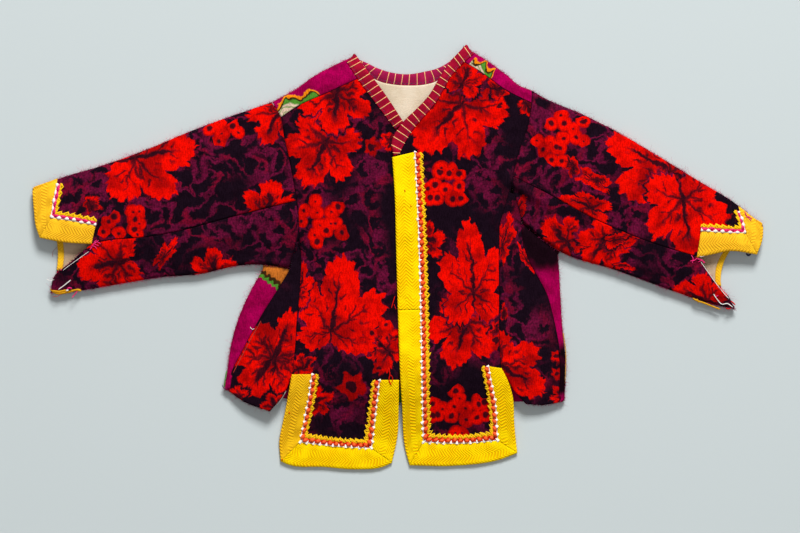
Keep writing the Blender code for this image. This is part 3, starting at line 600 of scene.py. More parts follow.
class SheetMesh:
    """A piece of cloth in the making: grids laid by rule, with their places on the flat cloth."""

    MERGE_REACH = 2e-6

    def __init__(self, name: str) -> None:
        """Starts an empty mesh.

        Args:
            name: the finished object's name.
        """
        self.name = name
        self.bm = bmesh.new()
        self.map = self.bm.loops.layers.uv.new(CLOTH_MAP)

    def add(
        self, us: Sequence[float], vs: Sequence[float], place: Place, flat: Place | None = None,
    ) -> dict[bmesh.types.BMFace, float]:
        """Adds a sheet with a point for each pair of us and vs.

        Args:
            us: values across the sheet.
            vs: values along the sheet.
            place: gives the points in space for arrays of u and v.
            flat: gives their places on the flat cloth, or None for the plan.
        Returns:
            The new faces, each with its lowest v.
        """
        us, vs = np.asarray(us, float), np.asarray(vs, float)
        columns, rows = len(us) - 1, len(vs) - 1
        made = bmesh.ops.create_grid(self.bm, x_segments=columns, y_segments=rows, size=0.5)["verts"]
        cells = np.array([vert.co[:2] for vert in made])
        u, v = us[column_of((cells[:, 0] + 0.5) * columns)], vs[column_of((cells[:, 1] + 0.5) * rows)]
        points = place(u, v) * MM
        spots = (points[:, :2] if flat is None else flat(u, v) * MM)
        where = {}
        for vert, point, spot, way in zip(made, points, spots, v):
            vert.co = point
            where[vert] = (spot, way)
        faces = {face: min(where[vert][1] for vert in face.verts) for vert in made for face in vert.link_faces}
        for face in faces:
            for loop in face.loops:
                loop[self.map].uv = where[loop.vert][0]
        return faces

    def add_yarns(
        self, paths: Array, radii: Array, sides: int = 6, slot: int = 0,
        flats: Array | None = None,
    ) -> None:
        """Adds round threads, one along each path.

        Args:
            paths: points in millimetres, as threads by points by 3.
            radii: the radius at each of those points, as threads by points.
            sides: how many sides each thread has.
            slot: the material slot of the threads.
            flats: each thread's one place on the flat cloth in millimetres, or None for its plan.
        """
        threads, points = paths.shape[:2]
        run = np.gradient(paths, axis=1)
        run /= np.maximum(np.linalg.norm(run, axis=2, keepdims=True), 1e-9)
        upright = np.abs(run[..., 2:]) > 0.9
        reference = np.where(upright, np.array((1.0, 0.0, 0.0)), np.array((0.0, 0.0, 1.0)))
        first = np.cross(run, reference)
        first /= np.linalg.norm(first, axis=2, keepdims=True)
        second = np.cross(run, first)
        ring = sides + 1

        def around(i: Array, row: Array) -> Array:
            """The points on the threads' faces.

            Args:
                i: numbers along each thread.
                row: numbers round the threads, one thread's after the other's.
            Returns:
                A point for each.
            """
            i, thread, side = column_of(i), column_of(row) // ring, column_of(row) % ring
            angle = (2 * math.pi * (side % sides) / sides)[:, None]
            out = np.cos(angle) * first[thread, i] + np.sin(angle) * second[thread, i]
            return paths[thread, i] + radii[thread, i][:, None] * out

        def spots(i: Array, row: Array) -> Array:
            """Their places on the flat cloth."""
            thread = column_of(row) // ring
            return paths[thread, column_of(i), :2] if flats is None else flats[thread]

        faces = self.add(np.arange(points), np.arange(ring * threads), around, spots)
        for face in faces:
            face.material_index = slot
        links = [face for face, row in faces.items() if round(row) % ring == sides]
        bmesh.ops.delete(self.bm, geom=links, context="FACES_ONLY")

    def trim(self, width: float) -> None:
        """Moves every open edge of the sheet inwards by a width in millimetres.

        Args:
            width: how far, in millimetres.
        """
        pulls: dict[bmesh.types.BMVert, list[Vector]] = {}
        for edge in self.bm.edges:
            if not edge.is_boundary:
                continue
            face = edge.link_faces[0]
            across = face.normal.cross(edge.verts[1].co - edge.verts[0].co).normalized()
            if across.dot(face.calc_center_median() - edge.verts[0].co) < 0:
                across.negate()
            for vert in edge.verts:
                pulls.setdefault(vert, []).append(across)
        for vert, pair in pulls.items():
            share = max(0.4, 1 + pair[0].dot(pair[-1]))
            vert.co += sum(pair, Vector()) * (width * MM / share * 2 / len(pair))

    def finish(
        self,
        finishes: Sequence[Material],
        thickness: float = 0.0,
        upwards: bool = True,
        seam: float = 0.0,
    ) -> Piece:
        """Makes the mesh an object.

        Args:
            finishes: its materials, in slot order.
            thickness: the cloth's thickness in millimetres, added inwards, or 0 for none.
            upwards: whether the highest face has to look up.
            seam: how far to trim the open edges, in millimetres.
        Returns:
            The new object.
        """
        bm = self.bm
        bmesh.ops.remove_doubles(bm, verts=bm.verts, dist=self.MERGE_REACH)
        bmesh.ops.recalc_face_normals(bm, faces=bm.faces)
        highest = max(bm.faces, key=lambda face: face.calc_center_median().z)
        if thickness and (highest.normal.z < 0) == upwards:
            bmesh.ops.reverse_faces(bm, faces=bm.faces)
        bm.normal_update()
        if seam:
            self.trim(seam)
        piece = piece_of(self.name, bm, finishes)
        piece.data.shade_smooth()
        if thickness:
            wall = piece.modifiers.new("wall", "SOLIDIFY")
            wall.thickness = thickness * MM
            wall.offset = -1
            wall.use_quality_normals = True
        return piece


def steps(start: float, end: float, count: int) -> Array:
    """Evenly spaced values from start to end, both taken in."""
    return np.linspace(start, end, count + 1)


def coons(left: Surface, right: Surface, low: Surface, high: Surface) -> Place:
    """The plan patch between four curves.

    Args:
        left: the side that runs up at u = 0.
        right: the side that runs up at u = 1.
        low: the side across at v = 0.
        high: the side across at v = 1.
    Returns:
        A function from arrays of u and v to plan points.
    """
    ends = np.array([0.0, 1.0])
    low_ends, high_ends = low(ends), high(ends)

    def place(u: Array, v: Array) -> Array:
        """The plan points at u and v.

        Args:
            u: shares across.
            v: shares along.
        Returns:
            A plan point for each.
        """
        a, b = np.asarray(u, float)[:, None], np.asarray(v, float)[:, None]
        corners = (1 - b) * ((1 - a) * low_ends[0] + a * low_ends[1])
        corners = corners + b * ((1 - a) * high_ends[0] + a * high_ends[1])
        return (1 - a) * left(v) + a * right(v) + (1 - b) * low(u) + b * high(u) - corners

    return place


def raised(points: Array, height: Array) -> Array:
    """Plan points with their heights as a third column."""
    return np.column_stack([points, height])


def turn_profile(count: int) -> Array:
    """Distances in from a fold of radius 1, and heights, from the top down to the bottom."""
    angles = np.radians(np.linspace(90, -90, count + 1))
    return np.stack([1 - np.cos(angles), 1 + np.sin(angles)], 1)


def area_of(piece: Piece) -> float:
    """The area in square metres of an object's mesh, without its modifiers."""
    return sum(face.area for face in piece.data.polygons)


@dataclass
class Cloth:
    """What every cloth shares."""

    LARGEST_SHARE = 0.999

    thickness: float = 1.8
    seam: float = 0.25
    fineness: float = 1.8
    turn_steps: int = 10

    def count(self, length: float) -> int:
        """How many steps a length takes."""
        return max(2, round(length / self.fineness))

    def laid(
        self, name: str, patch: Place, us: Sequence[float], vs: Sequence[float], height: Surface,
        finish: Material,
    ) -> Piece:
        """A cloth laid over a plan patch at a height rule.

        Args:
            name: the object's name.
            patch: the patch in plan.
            us: where its columns are.
            vs: where its rows are.
            height: the height rule.
            finish: its material.
        Returns:
            The finished object.
        """

        def place(u: Array, v: Array) -> Array:
            """The cloth's points."""
            plan = patch(u, v)
            return raised(plan, height(plan))

        sheet = SheetMesh(name)
        sheet.add(us, vs, place)
        return sheet.finish([finish], self.thickness, seam=self.seam)

    def turned(
        self, sheet: SheetMesh, along: Array, over: Place, under: Place, radii: Point, counts: tuple[int, int],
    ) -> None:
        """Adds cloth that runs over the upper layer to a fold, turns round it and runs on below.

        Args:
            sheet: the mesh that it joins.
            along: shares of the way along the fold.
            over: the upper layer's patch, with u = 1 on the fold.
            under: the lower layer's patch, with u = 1 on the fold.
            radii: the turn's radius at the fold's start and end.
            counts: how many columns there are before and after the turn.
        """
        fronts, backs = counts
        turn_end = fronts + self.turn_steps
        profile = turn_profile(self.turn_steps)

        def geometry(column: Array, v: Array) -> tuple[Array, Array]:
            """The points in space, and on the flat cloth, at columns and v.

            Args:
                column: column numbers.
                v: shares along the fold.
            Returns:
                The points, and their places on the flat cloth.
            """
            radius = between(radii, v)[:, None]
            zero, edge = np.zeros_like(v), over(np.ones_like(v), v)
            wide = np.linalg.norm(over(zero, v) - edge, axis=1)[:, None]
            low_wide = np.linalg.norm(under(zero, v) - edge, axis=1)[:, None]
            outward = (edge - over(zero, v)) / wide
            a = column[:, None]
            plan = over(np.clip((1 - radius / wide) * a / fronts, 0, 1)[:, 0], v)
            points, flat = raised(plan, LAY.top(plan)), plan.copy()
            on_turn = (column >= fronts) & (column <= turn_end)
            inset, z = (profile[np.clip(column - fronts, 0, self.turn_steps).astype(int)] * radius).T
            upper, lower = over(1 - inset / wide[:, 0], v), under(1 - inset / low_wide[:, 0], v)
            points[on_turn] = raised(np.where((z > radius[:, 0])[:, None], upper, lower), z)[on_turn]
            arc = math.pi * radius * (a - fronts) / self.turn_steps - radius
            flat[on_turn] = (edge + outward * arc)[on_turn]
            if backs:
                on_back = column > turn_end
                below = (1 - radius / low_wide) * (turn_end + backs - a) / backs
                plan = under(np.clip(below[:, 0], 0, 1), v)
                points[on_back] = raised(plan, LAY.under(plan))[on_back]
                past = (math.pi - 1) * radius + (low_wide - radius) * (a - turn_end) / backs
                flat[on_back] = (edge + outward * past)[on_back]
            return points, flat

        sheet.add(
            np.arange(turn_end + backs + 1), along,
            lambda u, v: geometry(u, v)[0], lambda u, v: geometry(u, v)[1],
        )

    def declare(
        self,
        piece: Piece,
        node: str,
        slot: str,
        cut: Point,
        rests_on: Sequence[str] = (),
        held: str = "laid",
        trims: Sequence[Piece] = (),
    ) -> None:
        """Args:
            piece: the finished object.
            node: the CAD node that it stands for.
            slot: the material slot of its finish; not used.
            cut: width and length in metres of the rectangle that it is cut from.
            rests_on: the pieces below it; not used.
            held: how it is held; not used.
            trims: the separate pieces that are sewn on it.
        """
        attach(piece, BODY)
        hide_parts(node)
        area = min(area_of(piece), cut[0] * cut[1] * self.LARGEST_SHARE)
        list(trims)
        LOG.info("%s: %d faces, %.1f cm2", piece.name, len(piece.data.polygons), area_of(piece) * 1e4)


@dataclass
class Sleeve(Cloth):
    """One sleeve: an upper and an under cut, each turned round its fold to the back."""

    side: str = "right"
    half: HalfPlan = RIGHT
    radii: Point = (4.5, 3.6)
    upper_cut: Point = (0.24, 0.24)
    under_cut: Point = (0.12, 0.23)

    def back_patch(self, fold: Curve) -> Place:
        """The back layer between the back seam and a fold.

        Args:
            fold: the fold in plan.
        Returns:
            The patch, with u = 1 on the fold.
        """
        plan = self.half
        start = plan.armhole_back.between(tuple(plan.back_seam(0.0)), tuple(fold(0.0)))
        end = plan.cuff_back.between(tuple(plan.back_seam(1.0)), tuple(fold(1.0)))
        return coons(plan.back_seam, fold, start, end)

    def cut(self, name: str, front: Place, back: Place, finish: Material) -> Piece:
        """Builds one cut of the sleeve.

        Args:
            name: the object's name.
            front: the front layer's patch, with u = 1 on the fold.
            back: the back layer's patch, with u = 1 on the fold.
            finish: the cut's material.
        Returns:
            The finished object.
        """
        middle = np.array([0.5])
        widths = (np.linalg.norm(patch(middle * 0, middle) - patch(middle * 2, middle)) for patch in (front, back))
        length = Curve.of(front(np.full(40, 0.5), np.linspace(0, 1, 40))).length
        sheet = SheetMesh(name)
        counts = tuple(self.count(width) for width in widths)
        self.turned(sheet, steps(0, 1, self.count(length)), front, back, self.radii, counts)
        return sheet.finish([finish], self.thickness, seam=self.seam)

    def build(
        self, upper: Material, under: Material, trims: Sequence[Piece],
    ) -> None:
        """Builds both cuts and puts them in their nodes' places.

        Args:
            upper: the upper cut's material.
            under: the under cut's material.
            trims: the pieces sewn on the upper cut.
        """
        plan, side = self.half, self.side
        seam_start = tuple(plan.sleeve_seam(0.0))
        arm = plan.armhole.between(seam_start, tuple(plan.sleeve_top(0.0)))
        front = coons(plan.sleeve_seam.then(plan.slit), plan.sleeve_top, arm, plan.cuff_front)
        piece = self.cut(f"sleeve_upper_{side}_cloth", front, self.back_patch(plan.sleeve_top), upper)
        self.declare(piece, f"sleeve_upper_{side}", "printed_wool", self.upper_cut, trims=trims)
        arm = plan.armhole.between(seam_start, tuple(plan.sleeve_bottom(0.0)))
        front = coons(plan.sleeve_seam, plan.sleeve_bottom, arm, plan.under_end)
        piece = self.cut(f"sleeve_under_{side}_cloth", front, self.back_patch(plan.sleeve_bottom), under)
        self.declare(piece, f"sleeve_under_{side}", "printed_wool", self.under_cut)


@dataclass
class Fronts(Cloth):
    """Both fronts: the wearer's left one lies over the right one."""

    cut_right: Point = (0.13, 0.37)
    cut_left: Point = (0.13, 0.38)

    def front(
        self, name: str, sides: tuple[Curve, Curve, Curve, Curve], corner: float, height: Surface,
        finish: Material, lead: float = 0.0,
    ) -> Piece:
        """One front, from its tab's hem to the shoulder seam and the neck edge.

        Args:
            name: the object's name.
            sides: its left side, right side, hem and upper edge.
            corner: where on the upper edge the neck meets the shoulder.
            height: the height rule.
            finish: its material.
            lead: the share of the upper edge without columns, where they would crowd.
        Returns:
            The finished object.
        """
        left, right, hem, high = sides
        patch = coons(left, right, hem, high)
        half = self.count(high.length / 2)
        columns = np.append(steps(0, corner, half), steps(corner, 1, half)[1:])
        columns = columns[(columns == 0) | (columns > lead)]
        rows = steps(0, 1, self.count(max(left.length, right.length)))
        return self.laid(name, patch, columns, rows, height, finish)

    def build(
        self, right: Material, left: Material, right_trims: list[Piece],
        left_trims: list[Piece],
    ) -> None:
        """Builds both fronts and puts them in their nodes' places.

        Args:
            right: the right front's material.
            left: the left front's material.
            right_trims: the pieces sewn on the right front.
            left_trims: the pieces sewn on the left front.
        """
        plan = RIGHT
        side = plan.tab_side.then(plan.gore_seam).then(plan.armhole.between((-86.5, 24), (-102, 121.5)))
        high = plan.shoulder_seam.then(plan.neck)
        corner = high.share_at(tuple(plan.neck(0.0)))
        piece = self.front(
            "front_right_cloth", (side, plan.centre, plan.hem, high), corner, LAY.right_front, right,
        )
        self.declare(piece, "front_right", "printed_wool", self.cut_right, ["back_cloth"], trims=right_trims)
        plan = LEFT
        side = plan.tab_side.then(plan.gore_seam).then(plan.armhole.between((101, 68.5), (117.5, 134)))
        high = plan.neck.then(plan.shoulder_seam)
        corner = high.share_at(tuple(plan.neck(1.0)))
        piece = self.front("front_left_cloth", (plan.centre, side, plan.hem, high), corner, LAY.front, left, 0.075)
        self.declare(piece, "front_left", "printed_wool", self.cut_left, ["front_right_cloth"], trims=left_trims)


@dataclass
class SideGores(Cloth):
    """The wedges between the fronts and the back, which taper to the armholes."""

    cut_size: Point = (0.075, 0.17)

    def gore(self, name: str, left: Curve, right: Curve, hem: Curve, finish: Material) -> Piece:
        """One gore between two side curves, with its hem at v = 0.

        Args:
            name: the object's name.
            left: its left side.
            right: its right side.
            hem: its hem.
            finish: its material.
        Returns:
            The finished object.
        """
        patch = coons(left, right, hem, chord(left, right, 1.0))
        columns, rows = steps(0, 1, self.count(hem.length)), steps(0, 1, self.count(left.length))
        return self.laid(name, patch, columns, rows, LAY.top, finish)

    def build(self, right: Material, left: Material) -> None:
        """Builds both gores and puts them in their nodes' places.

        Args:
            right: the right gore's material.
            left: the left gore's material.
        """
        outer = RIGHT.strip_seam.then(RIGHT.armhole.between((-92.6, -4), (-88.8, 12)))
        inner = RIGHT.gore_slit.then(RIGHT.gore_seam.between((-92, -103.5), (-85.2, 13)))
        piece = self.gore("side_gore_right_cloth", outer, inner, RIGHT.gore_hem, right)
        self.declare(piece, "side_gore_right", "printed_wool", self.cut_size)
        outer = LEFT.strip_seam.then(LEFT.armhole.between((108.7, 33), (103, 54.5)))
        inner = LEFT.gore_slit.then(LEFT.gore_seam.between((90.5, -98), (98, 56)))
        piece = self.gore("side_gore_left_cloth", inner, outer, LEFT.gore_hem, left)
        self.declare(piece, "side_gore_left", "printed_wool", self.cut_size)


@dataclass
class Back(Cloth):
    """The back: flat below, and turned up over both shoulders and both sides."""

    shoulder_radius: float = 4.5
    side_radii: Point = (2.5, 3.4)
    foot_share: float = 0.45
    neck_shares: Point = (0.32, 0.74)
    turn_steps: int = 8
    arm_length: float = 130.0
    shoulder_width: float = 14.0
    strip_widths: Point = (12.0, 44.0)
    underarm_height: float = 4.4
    flat_shift: Point = (0.0, -600.0)
    underarm_sag: float = 1.2
    cut_size: Point = (0.34, 0.37)

    def two_part(self, first: Surface, second: Surface) -> Surface:
        """Two curves read as one, which meet at the foot's share of the way.

        Args:
            first: the curve up to there.
            second: the curve from there.
        Returns:
            The line from 0 to 1.
        """

        def read(v: Array) -> Array:
            """The points at v.

            Args:
                v: shares along.
            Returns:
                A plan point for each.
            """
            v = np.asarray(v, float)
            foot = self.foot_share
            low = first(np.clip(v / foot, 0, 1))
            high = second(np.clip((v - foot) / (1 - foot), 0, 1))
            return np.where((v <= foot)[..., None], low, high)

        return read

    def over_shoulder(self, fold: Curve, seam: Curve) -> Surface:
        """The line under a shoulder fold where the turn leaves the flat back.

        Args:
            fold: the fold in plan.
            seam: the shoulder seam.
        Returns:
            The line from 0 to 1.
        """

        def read(t: Array) -> Array:
            """The points at t."""
            toward = seam(t) - fold(t)
            return fold(t) + toward / np.linalg.norm(toward, axis=-1, keepdims=True) * self.shoulder_radius

        return read

    def strip(
        self, sheet: SheetMesh, along: Array, fold: Curve, foot: Surface, seam: Surface, radii: Point,
        counts: tuple[int, int],
    ) -> None:
        """The part that runs from a seam on top to a fold, turns over it and runs to its foot.

        Args:
            sheet: the mesh that it joins.
            along: shares of the way along the fold.
            fold: the fold in plan.
            foot: where the strip leaves the flat back.
            seam: where it ends on the upper layer.
            radii: the turn's radius at the fold's start and end.
            counts: how many rows there are before and after the turn.
        """

        def straight(start: Surface) -> Place:
            """The plan patch from a line, at u = 0, to the fold."""
            return lambda u, v: start(v) + (fold(v) - start(v)) * np.asarray(u)[:, None]

        self.turned(sheet, along, straight(seam), straight(foot), radii, counts)

    def underarm(self, sheet: SheetMesh, plan: HalfPlan, seam: Surface, over_steps: int) -> None:
        """Closes the armhole between a side strip's top end and the sleeve's fold.

        Args:
            sheet: the mesh that it joins.
            plan: the half's curves.
            seam: where the strip ends on the upper layer.
            over_steps: the strip's rows from the turn to the seam.
        """
        profile = turn_profile(self.turn_steps)[::-1]
        edge, radius = plan.side_fold(1.0), self.side_radii[1]
        to_seam = seam(np.array(1.0)) - edge
        over = float(np.linalg.norm(to_seam))
        middle = self.turn_steps // 2
        turned = profile[middle:] * radius
        share = radius / over + (1 - radius / over) * np.arange(1, over_steps + 1) / over_steps
        flat_part = edge + to_seam * share[:, None]
        start = np.concatenate([
            raised(edge + to_seam / over * turned[:, :1], turned[:, 1]), raised(flat_part, LAY.top(flat_part)),
        ])
        fold = plan.sleeve_bottom
        near = fold.near(start[:, :2])[1]
        end_share = np.linspace(float(near[0]), 0.004, len(start))
        fold_points = fold(end_share)
        inward = fold_points - start[:, :2]
        inward /= np.maximum(np.linalg.norm(inward, axis=1, keepdims=True), 1e-6)
        end = raised(fold_points + inward * 1.4, np.full(len(start), self.underarm_height))

        def place(u: Array, v: Array) -> Array:
            """The patch's points, which sag a little between its edges.

            Args:
                u: column numbers.
                v: shares from the strip to the sleeve.
            Returns:
                A point for each.
            """
            column = column_of(u)
            points = start[column] + (end[column] - start[column]) * v[:, None]
            points[:, 2] -= self.underarm_sag * np.sin(math.pi * v) * (column / len(start))
            return points

        sheet.add(np.arange(len(start)), steps(0, 1, 6), place)

    def paced(self, curve: Curve, share: float, point: Point) -> Surface:
        """Reads a curve so that it passes a point of its own at a given share of the way."""
        passes = curve.share_at(point)
        return lambda t: curve(np.interp(t, (0, share, 1), (0, passes, 1)))

    def build(self, finish: Material) -> None:
        """Builds the back and puts it in its node's place.

        Args:
            finish: its material.
        """
        right_turn = self.over_shoulder(RIGHT.shoulder_fold, RIGHT.shoulder_seam)
        left_turn = self.over_shoulder(LEFT.shoulder_fold, LEFT.shoulder_seam)

        def arm_side(plan: HalfPlan, turn_end: Array) -> Curve:
            """The back's edge from a side strip's foot to the shoulder's turn.

            Args:
                plan: the half's curves.
                turn_end: the outer end of the shoulder's turn.
            Returns:
                The edge.
            """
            foot, arm = tuple(plan.strip_foot(1.0)), tuple(plan.armhole(0.0))
            upper = plan.armhole_back.between(arm, tuple(turn_end)).ending_at(turn_end)
            return Curve(foot, arm).then(upper)

        right_arm = arm_side(RIGHT, right_turn(np.array(0.0)))
        left_arm = arm_side(LEFT, left_turn(np.array(1.0)))
        first, last = self.neck_shares

        def top(u: Array) -> Array:
            """The back's upper edge: a shoulder, the neck and the other shoulder.

            Args:
                u: shares across.
            Returns:
                A plan point for each.
            """
            u = np.asarray(u, float)
            right = right_turn(np.clip(u / first, 0, 1))
            neck = BACK_NECK(np.clip((u - first) / (last - first), 0, 1))
            left = left_turn(np.clip((u - last) / (1 - last), 0, 1))
            return np.where((u <= first)[..., None], right, np.where((u < last)[..., None], neck, left))

        patch = coons(
            self.two_part(RIGHT.strip_foot, right_arm), self.two_part(LEFT.strip_foot, left_arm), BACK_HEM, top,
        )
        shoulder, neck = self.count(RIGHT.shoulder_fold.length), self.count(BACK_NECK.length)
        us = np.concatenate([
            steps(0, first, shoulder), steps(first, last, neck)[1:], steps(last, 1, shoulder)[1:],
        ])
        side, upper = self.count(RIGHT.side_fold.length), self.count(self.arm_length)
        vs = np.append(steps(0, self.foot_share, side), steps(self.foot_share, 1, upper)[1:])

        def flat_place(u: Array, v: Array) -> Array:
            """The flat part's points, level on its rim so that the strips meet it.

            Args:
                u: shares across.
                v: shares along.
            Returns:
                A point for each.
            """
            plan = patch(u, v)
            rim = np.minimum.reduce([u * 12, (1 - u) * 12, v * 18, (1 - v) * 18])
            return raised(plan, LAY.under(plan) * smooth(rim))

        sheet = SheetMesh("back_cloth")
        sheet.add(us, vs, flat_place, lambda u, v: patch(u, v) + np.array(self.flat_shift))
        radii = (self.shoulder_radius, self.shoulder_radius)
        for plan in (RIGHT, LEFT):
            self.strip(
                sheet, steps(0, 1, shoulder), plan.shoulder_fold, plan.shoulder_seam, plan.shoulder_seam,
                radii, (self.count(self.shoulder_width), 0),
            )
        seams = (self.paced(RIGHT.strip_seam, 0.7, (-124, -60.5)), self.paced(LEFT.strip_seam, 0.74, (131, -34)))
        counts = (self.count(self.strip_widths[0]), self.count(self.strip_widths[1]))
        for plan, seam in zip((RIGHT, LEFT), seams):
            self.strip(
                sheet, steps(0, 1, side), plan.side_fold, plan.strip_foot, seam,
                self.side_radii, counts,
            )
            self.underarm(sheet, plan, seam, counts[0])
        piece = sheet.finish([finish], self.thickness, seam=self.seam)
        self.declare(piece, "back", "magenta_wool", self.cut_size)


# How much longer a strip is cut than the edge that it covers
CUT_EASE = 1.02


@dataclass
class Tapes(Cloth):
    """The yellow herringbone tapes, which wrap the fronts' and cuffs' edges."""

    lowest: float = -0.02
    wall: float = 1.0
    fineness: float = 1.5
    cut_width: float = 0.034

    def tape(
        self, node: str, outer: Curve, inner: Curve, finish: Material, rests_on: Sequence[str],
        height: Surface | None = None, start: float = 0.0, drop: float = 1.0,
    ) -> None:
        """One tape between its outer edge, which it wraps, and its inner edge.

        Args:
            node: the CAD node that it stands for.
            outer: the cloth's edge in plan.
            inner: the tape's other edge.
            finish: its material.
            rests_on: the pieces below it.
            height: the height rule of the cloth below, or None for the fronts'.
            start: where its weave starts along the tape, in millimetres.
            drop: the share of its usual reach under the cloth's edge.
        """
        level = height or LAY.front
        width = float(np.linalg.norm(outer(0.5) - inner(0.5)))
        # Across the tape: distance in from the outer edge, and height over the cloth's face
        profile = np.array([
            (0.7, -1.45), (0.1, -1.5), (-0.45, -1.3), (-0.75, -0.7), (-0.7, 0.2), (-0.2, 0.95), (0.7, 1.35),
            (1.8, 1.5), (3.2, 1.46), (4.8, 1.55), (width * 0.33, 1.65), (width * 0.45, 1.62), (width * 0.57, 1.66),
            (width * 0.68, 1.6), (width * 0.8, 1.6), (width - 3.0, 1.52), (width - 1.6, 1.35), (width - 0.6, 1.05),
            (width, 0.75),
        ])
        inset, lift = profile.T
        lift = np.where(lift < 0, lift * drop, lift)
        cloth_along = run_along(profile)

        def place(u: Array, v: Array) -> Array:
            """The tape's points.

            Args:
                u: column numbers.
                v: shares along.
            Returns:
                A point for each.
            """
            column = column_of(u)
            edge, other = outer(v), inner(v)
            wide = np.linalg.norm(other - edge, axis=1)[:, None]
            share = inset[column][:, None] * (wide / width) / wide
            plan = edge + (other - edge) * share
            on_cloth = edge + (other - edge) * np.clip(share, 0, 1)
            ease = 0.16 * ripple(plan, 13.0, 1.9) + 0.10 * ripple(plan, 31.0, 0.4)
            return raised(plan, np.maximum(level(on_cloth) + lift[column] + ease, self.lowest))

        def flat(u: Array, v: Array) -> Array:
            """Across and along the tape."""
            return np.column_stack([cloth_along[column_of(u)], start + v * outer.length])

        sheet = SheetMesh(f"{node}_cloth")
        rows = self.count(outer.length)
        sheet.add(np.arange(len(profile)), steps(0, 1, rows), place, flat)
        piece = sheet.finish([finish], self.wall)
        cut = (self.cut_width, outer.length * MM * CUT_EASE)
        self.declare(piece, node, "yellow_tape", cut, rests_on, "folded")

    def build(self, front: Material, tab: Material, cuff: Material) -> None:
        """Builds every tape.

        Args:
            front: the material on the fronts.
            tab: the material on the right tab's side.
            cuff: the material on the cuffs.
        """
        join = (0.0, -47.5)
        left, right = LEFT, RIGHT
        upper, lower = left.centre.between(join, (-4, 86.5)), left.centre.between((11, -183), join)
        upper_line = left.front_line.between(join, (15, 91))
        lower_line = left.front_line.between((22.5, -163.5), join)
        inner_edge = right.centre.between((-5.5, -181), (1, -108.5))
        for node, outer, inner, finish, height, start, drop in (
            ("front_tape_upper", upper, upper_line, front, None, 0.0, 0.45),
            ("front_tape_lower", lower, lower_line, front, None, 3.0, 1.0),
            ("hem_tape_left", left.hem, left.hem_line, front, None, 9.0, 1.0),
            ("side_tape_left", left.tab_side, left.side_line, front, None, 5.0, 1.0),
            ("side_tape_right", right.tab_side, right.side_line, tab, None, 7.0, 1.0),
            ("hem_tape_right", right.hem, right.hem_line, front, None, 1.0, 1.0),
            ("inner_tape_right", inner_edge, right.front_line, front, LAY.right_front, 4.0, 1.0),
        ):
            below = "front_right_cloth" if node.endswith("right") else "front_left_cloth"
            self.tape(node, outer, inner, finish, [below], height, start, drop)
        for half, side, ends, lean in (
            (right, "right", ((-313, 16.5), (-319.5, 57)), (0.8, 5.0)),
            (left, "left", ((314.5, 2), (320, 25)), (-0.6, 5.4)),
        ):
            below = [f"sleeve_upper_{side}_cloth"]
            corner = half.cuff_line(1.0)
            inner_edge = half.cuff_line.then(Curve(tuple(corner), tuple(corner + lean)))
            outer_edge = half.cuff_front.between(*ends)
            end = outer_edge(1.0)
            outer_edge = outer_edge.then(Curve(tuple(end), tuple(end + np.array(lean) * 0.5)))
            self.tape(f"cuff_tape_{side}", outer_edge, inner_edge, cuff, below, LAY.rounded)
            self.tape(f"slit_tape_{side}", half.slit.back(), half.slit_line, cuff, below, start=6.0)


class Twist(Enum):
    """The two kinds of knotted braid."""

    CORAL = "coral"
    PINK = "pink"


# Each braid's short threads: the way along in pitches and away from the tape, lifts, radii and finish
BRAID_THREADS = {
    Twist.CORAL: (
        ([(0, -0.2), (0, 0.9), (0, 2.3)], [0.8, 1.1, 1.2], [1.5, 1.0, 0.15], 0),
        ([(-0.15, 1.5), (-0.09, 2.0), (0.02, 2.7), (0.12, 3.4), (0.17, 3.9)],
         [0.9, 1.6, 2.0, 1.6, 0.9], [0.6, 1.4, 1.6, 1.4, 0.6], 1),
        # The coral knot's second half, in darker brick, is painted shade on one side of the knot
        ([(-0.38, 3.2), (-0.28, 3.8), (-0.12, 4.3), (0.00, 4.7), (0.08, 5.0)],
         [0.8, 1.1, 1.3, 1.2, 0.8], [0.3, 0.8, 0.9, 0.8, 0.3], 2),
        ([(-0.62, 4.6), (-0.40, 5.6), (-0.16, 7.2), (-0.06, 8.4)], [0.7, 1.1, 1.2, 0.9], [0.8, 1.0, 0.8, 0.15], 3),
        ([(0.52, 4.4), (0.36, 5.4), (0.20, 6.8), (0.02, 8.0)], [0.7, 1.2, 1.3, 0.9], [0.8, 1.0, 0.75, 0.15], 3),
        ([(-0.10, 4.7), (-0.04, 5.8), (-0.22, 7.0), (-0.44, 7.6)], [0.9, 1.4, 1.3, 0.8], [0.9, 0.9, 0.6, 0.1], 3),
        ([(0.16, 4.8), (0.10, 5.7), (0.28, 6.4), (0.46, 6.7)], [0.9, 1.3, 1.2, 0.8], [0.8, 0.8, 0.5, 0.1], 3),
    ),
    Twist.PINK: (
        ([(-0.28, 0.9), (0.0, 1.1), (0.28, 0.9)], [0.9, 1.6, 0.9], [0.7, 1.55, 0.7], 0),
        ([(-0.44, 3.5), (-0.2, 3.0), (0.1, 2.7), (0.42, 2.2)], [0.9, 1.5, 1.5, 0.9], [0.5, 1.15, 1.15, 0.5], 1),
        ([(-0.50, 4.4), (-0.40, 5.4), (-0.10, 6.8), (0.02, 8.2)], [0.7, 1.1, 1.3, 0.9], [0.8, 0.95, 0.9, 0.3], 3),
        ([(0.46, 4.4), (0.34, 5.4), (0.16, 6.6), (-0.04, 7.8)], [0.7, 1.2, 1.4, 0.9], [0.8, 1.0, 0.85, 0.3], 3),
        ([(-0.24, 4.5), (-0.16, 5.6), (-0.30, 6.6), (-0.42, 6.9)], [0.9, 1.2, 1.2, 0.8], [0.9, 0.9, 0.6, 0.2], 3),
        ([(0.10, 4.5), (0.16, 5.4), (0.32, 6.2), (0.44, 6.4)], [0.9, 1.2, 1.2, 0.8], [0.8, 0.8, 0.6, 0.2], 3),
    ),
}
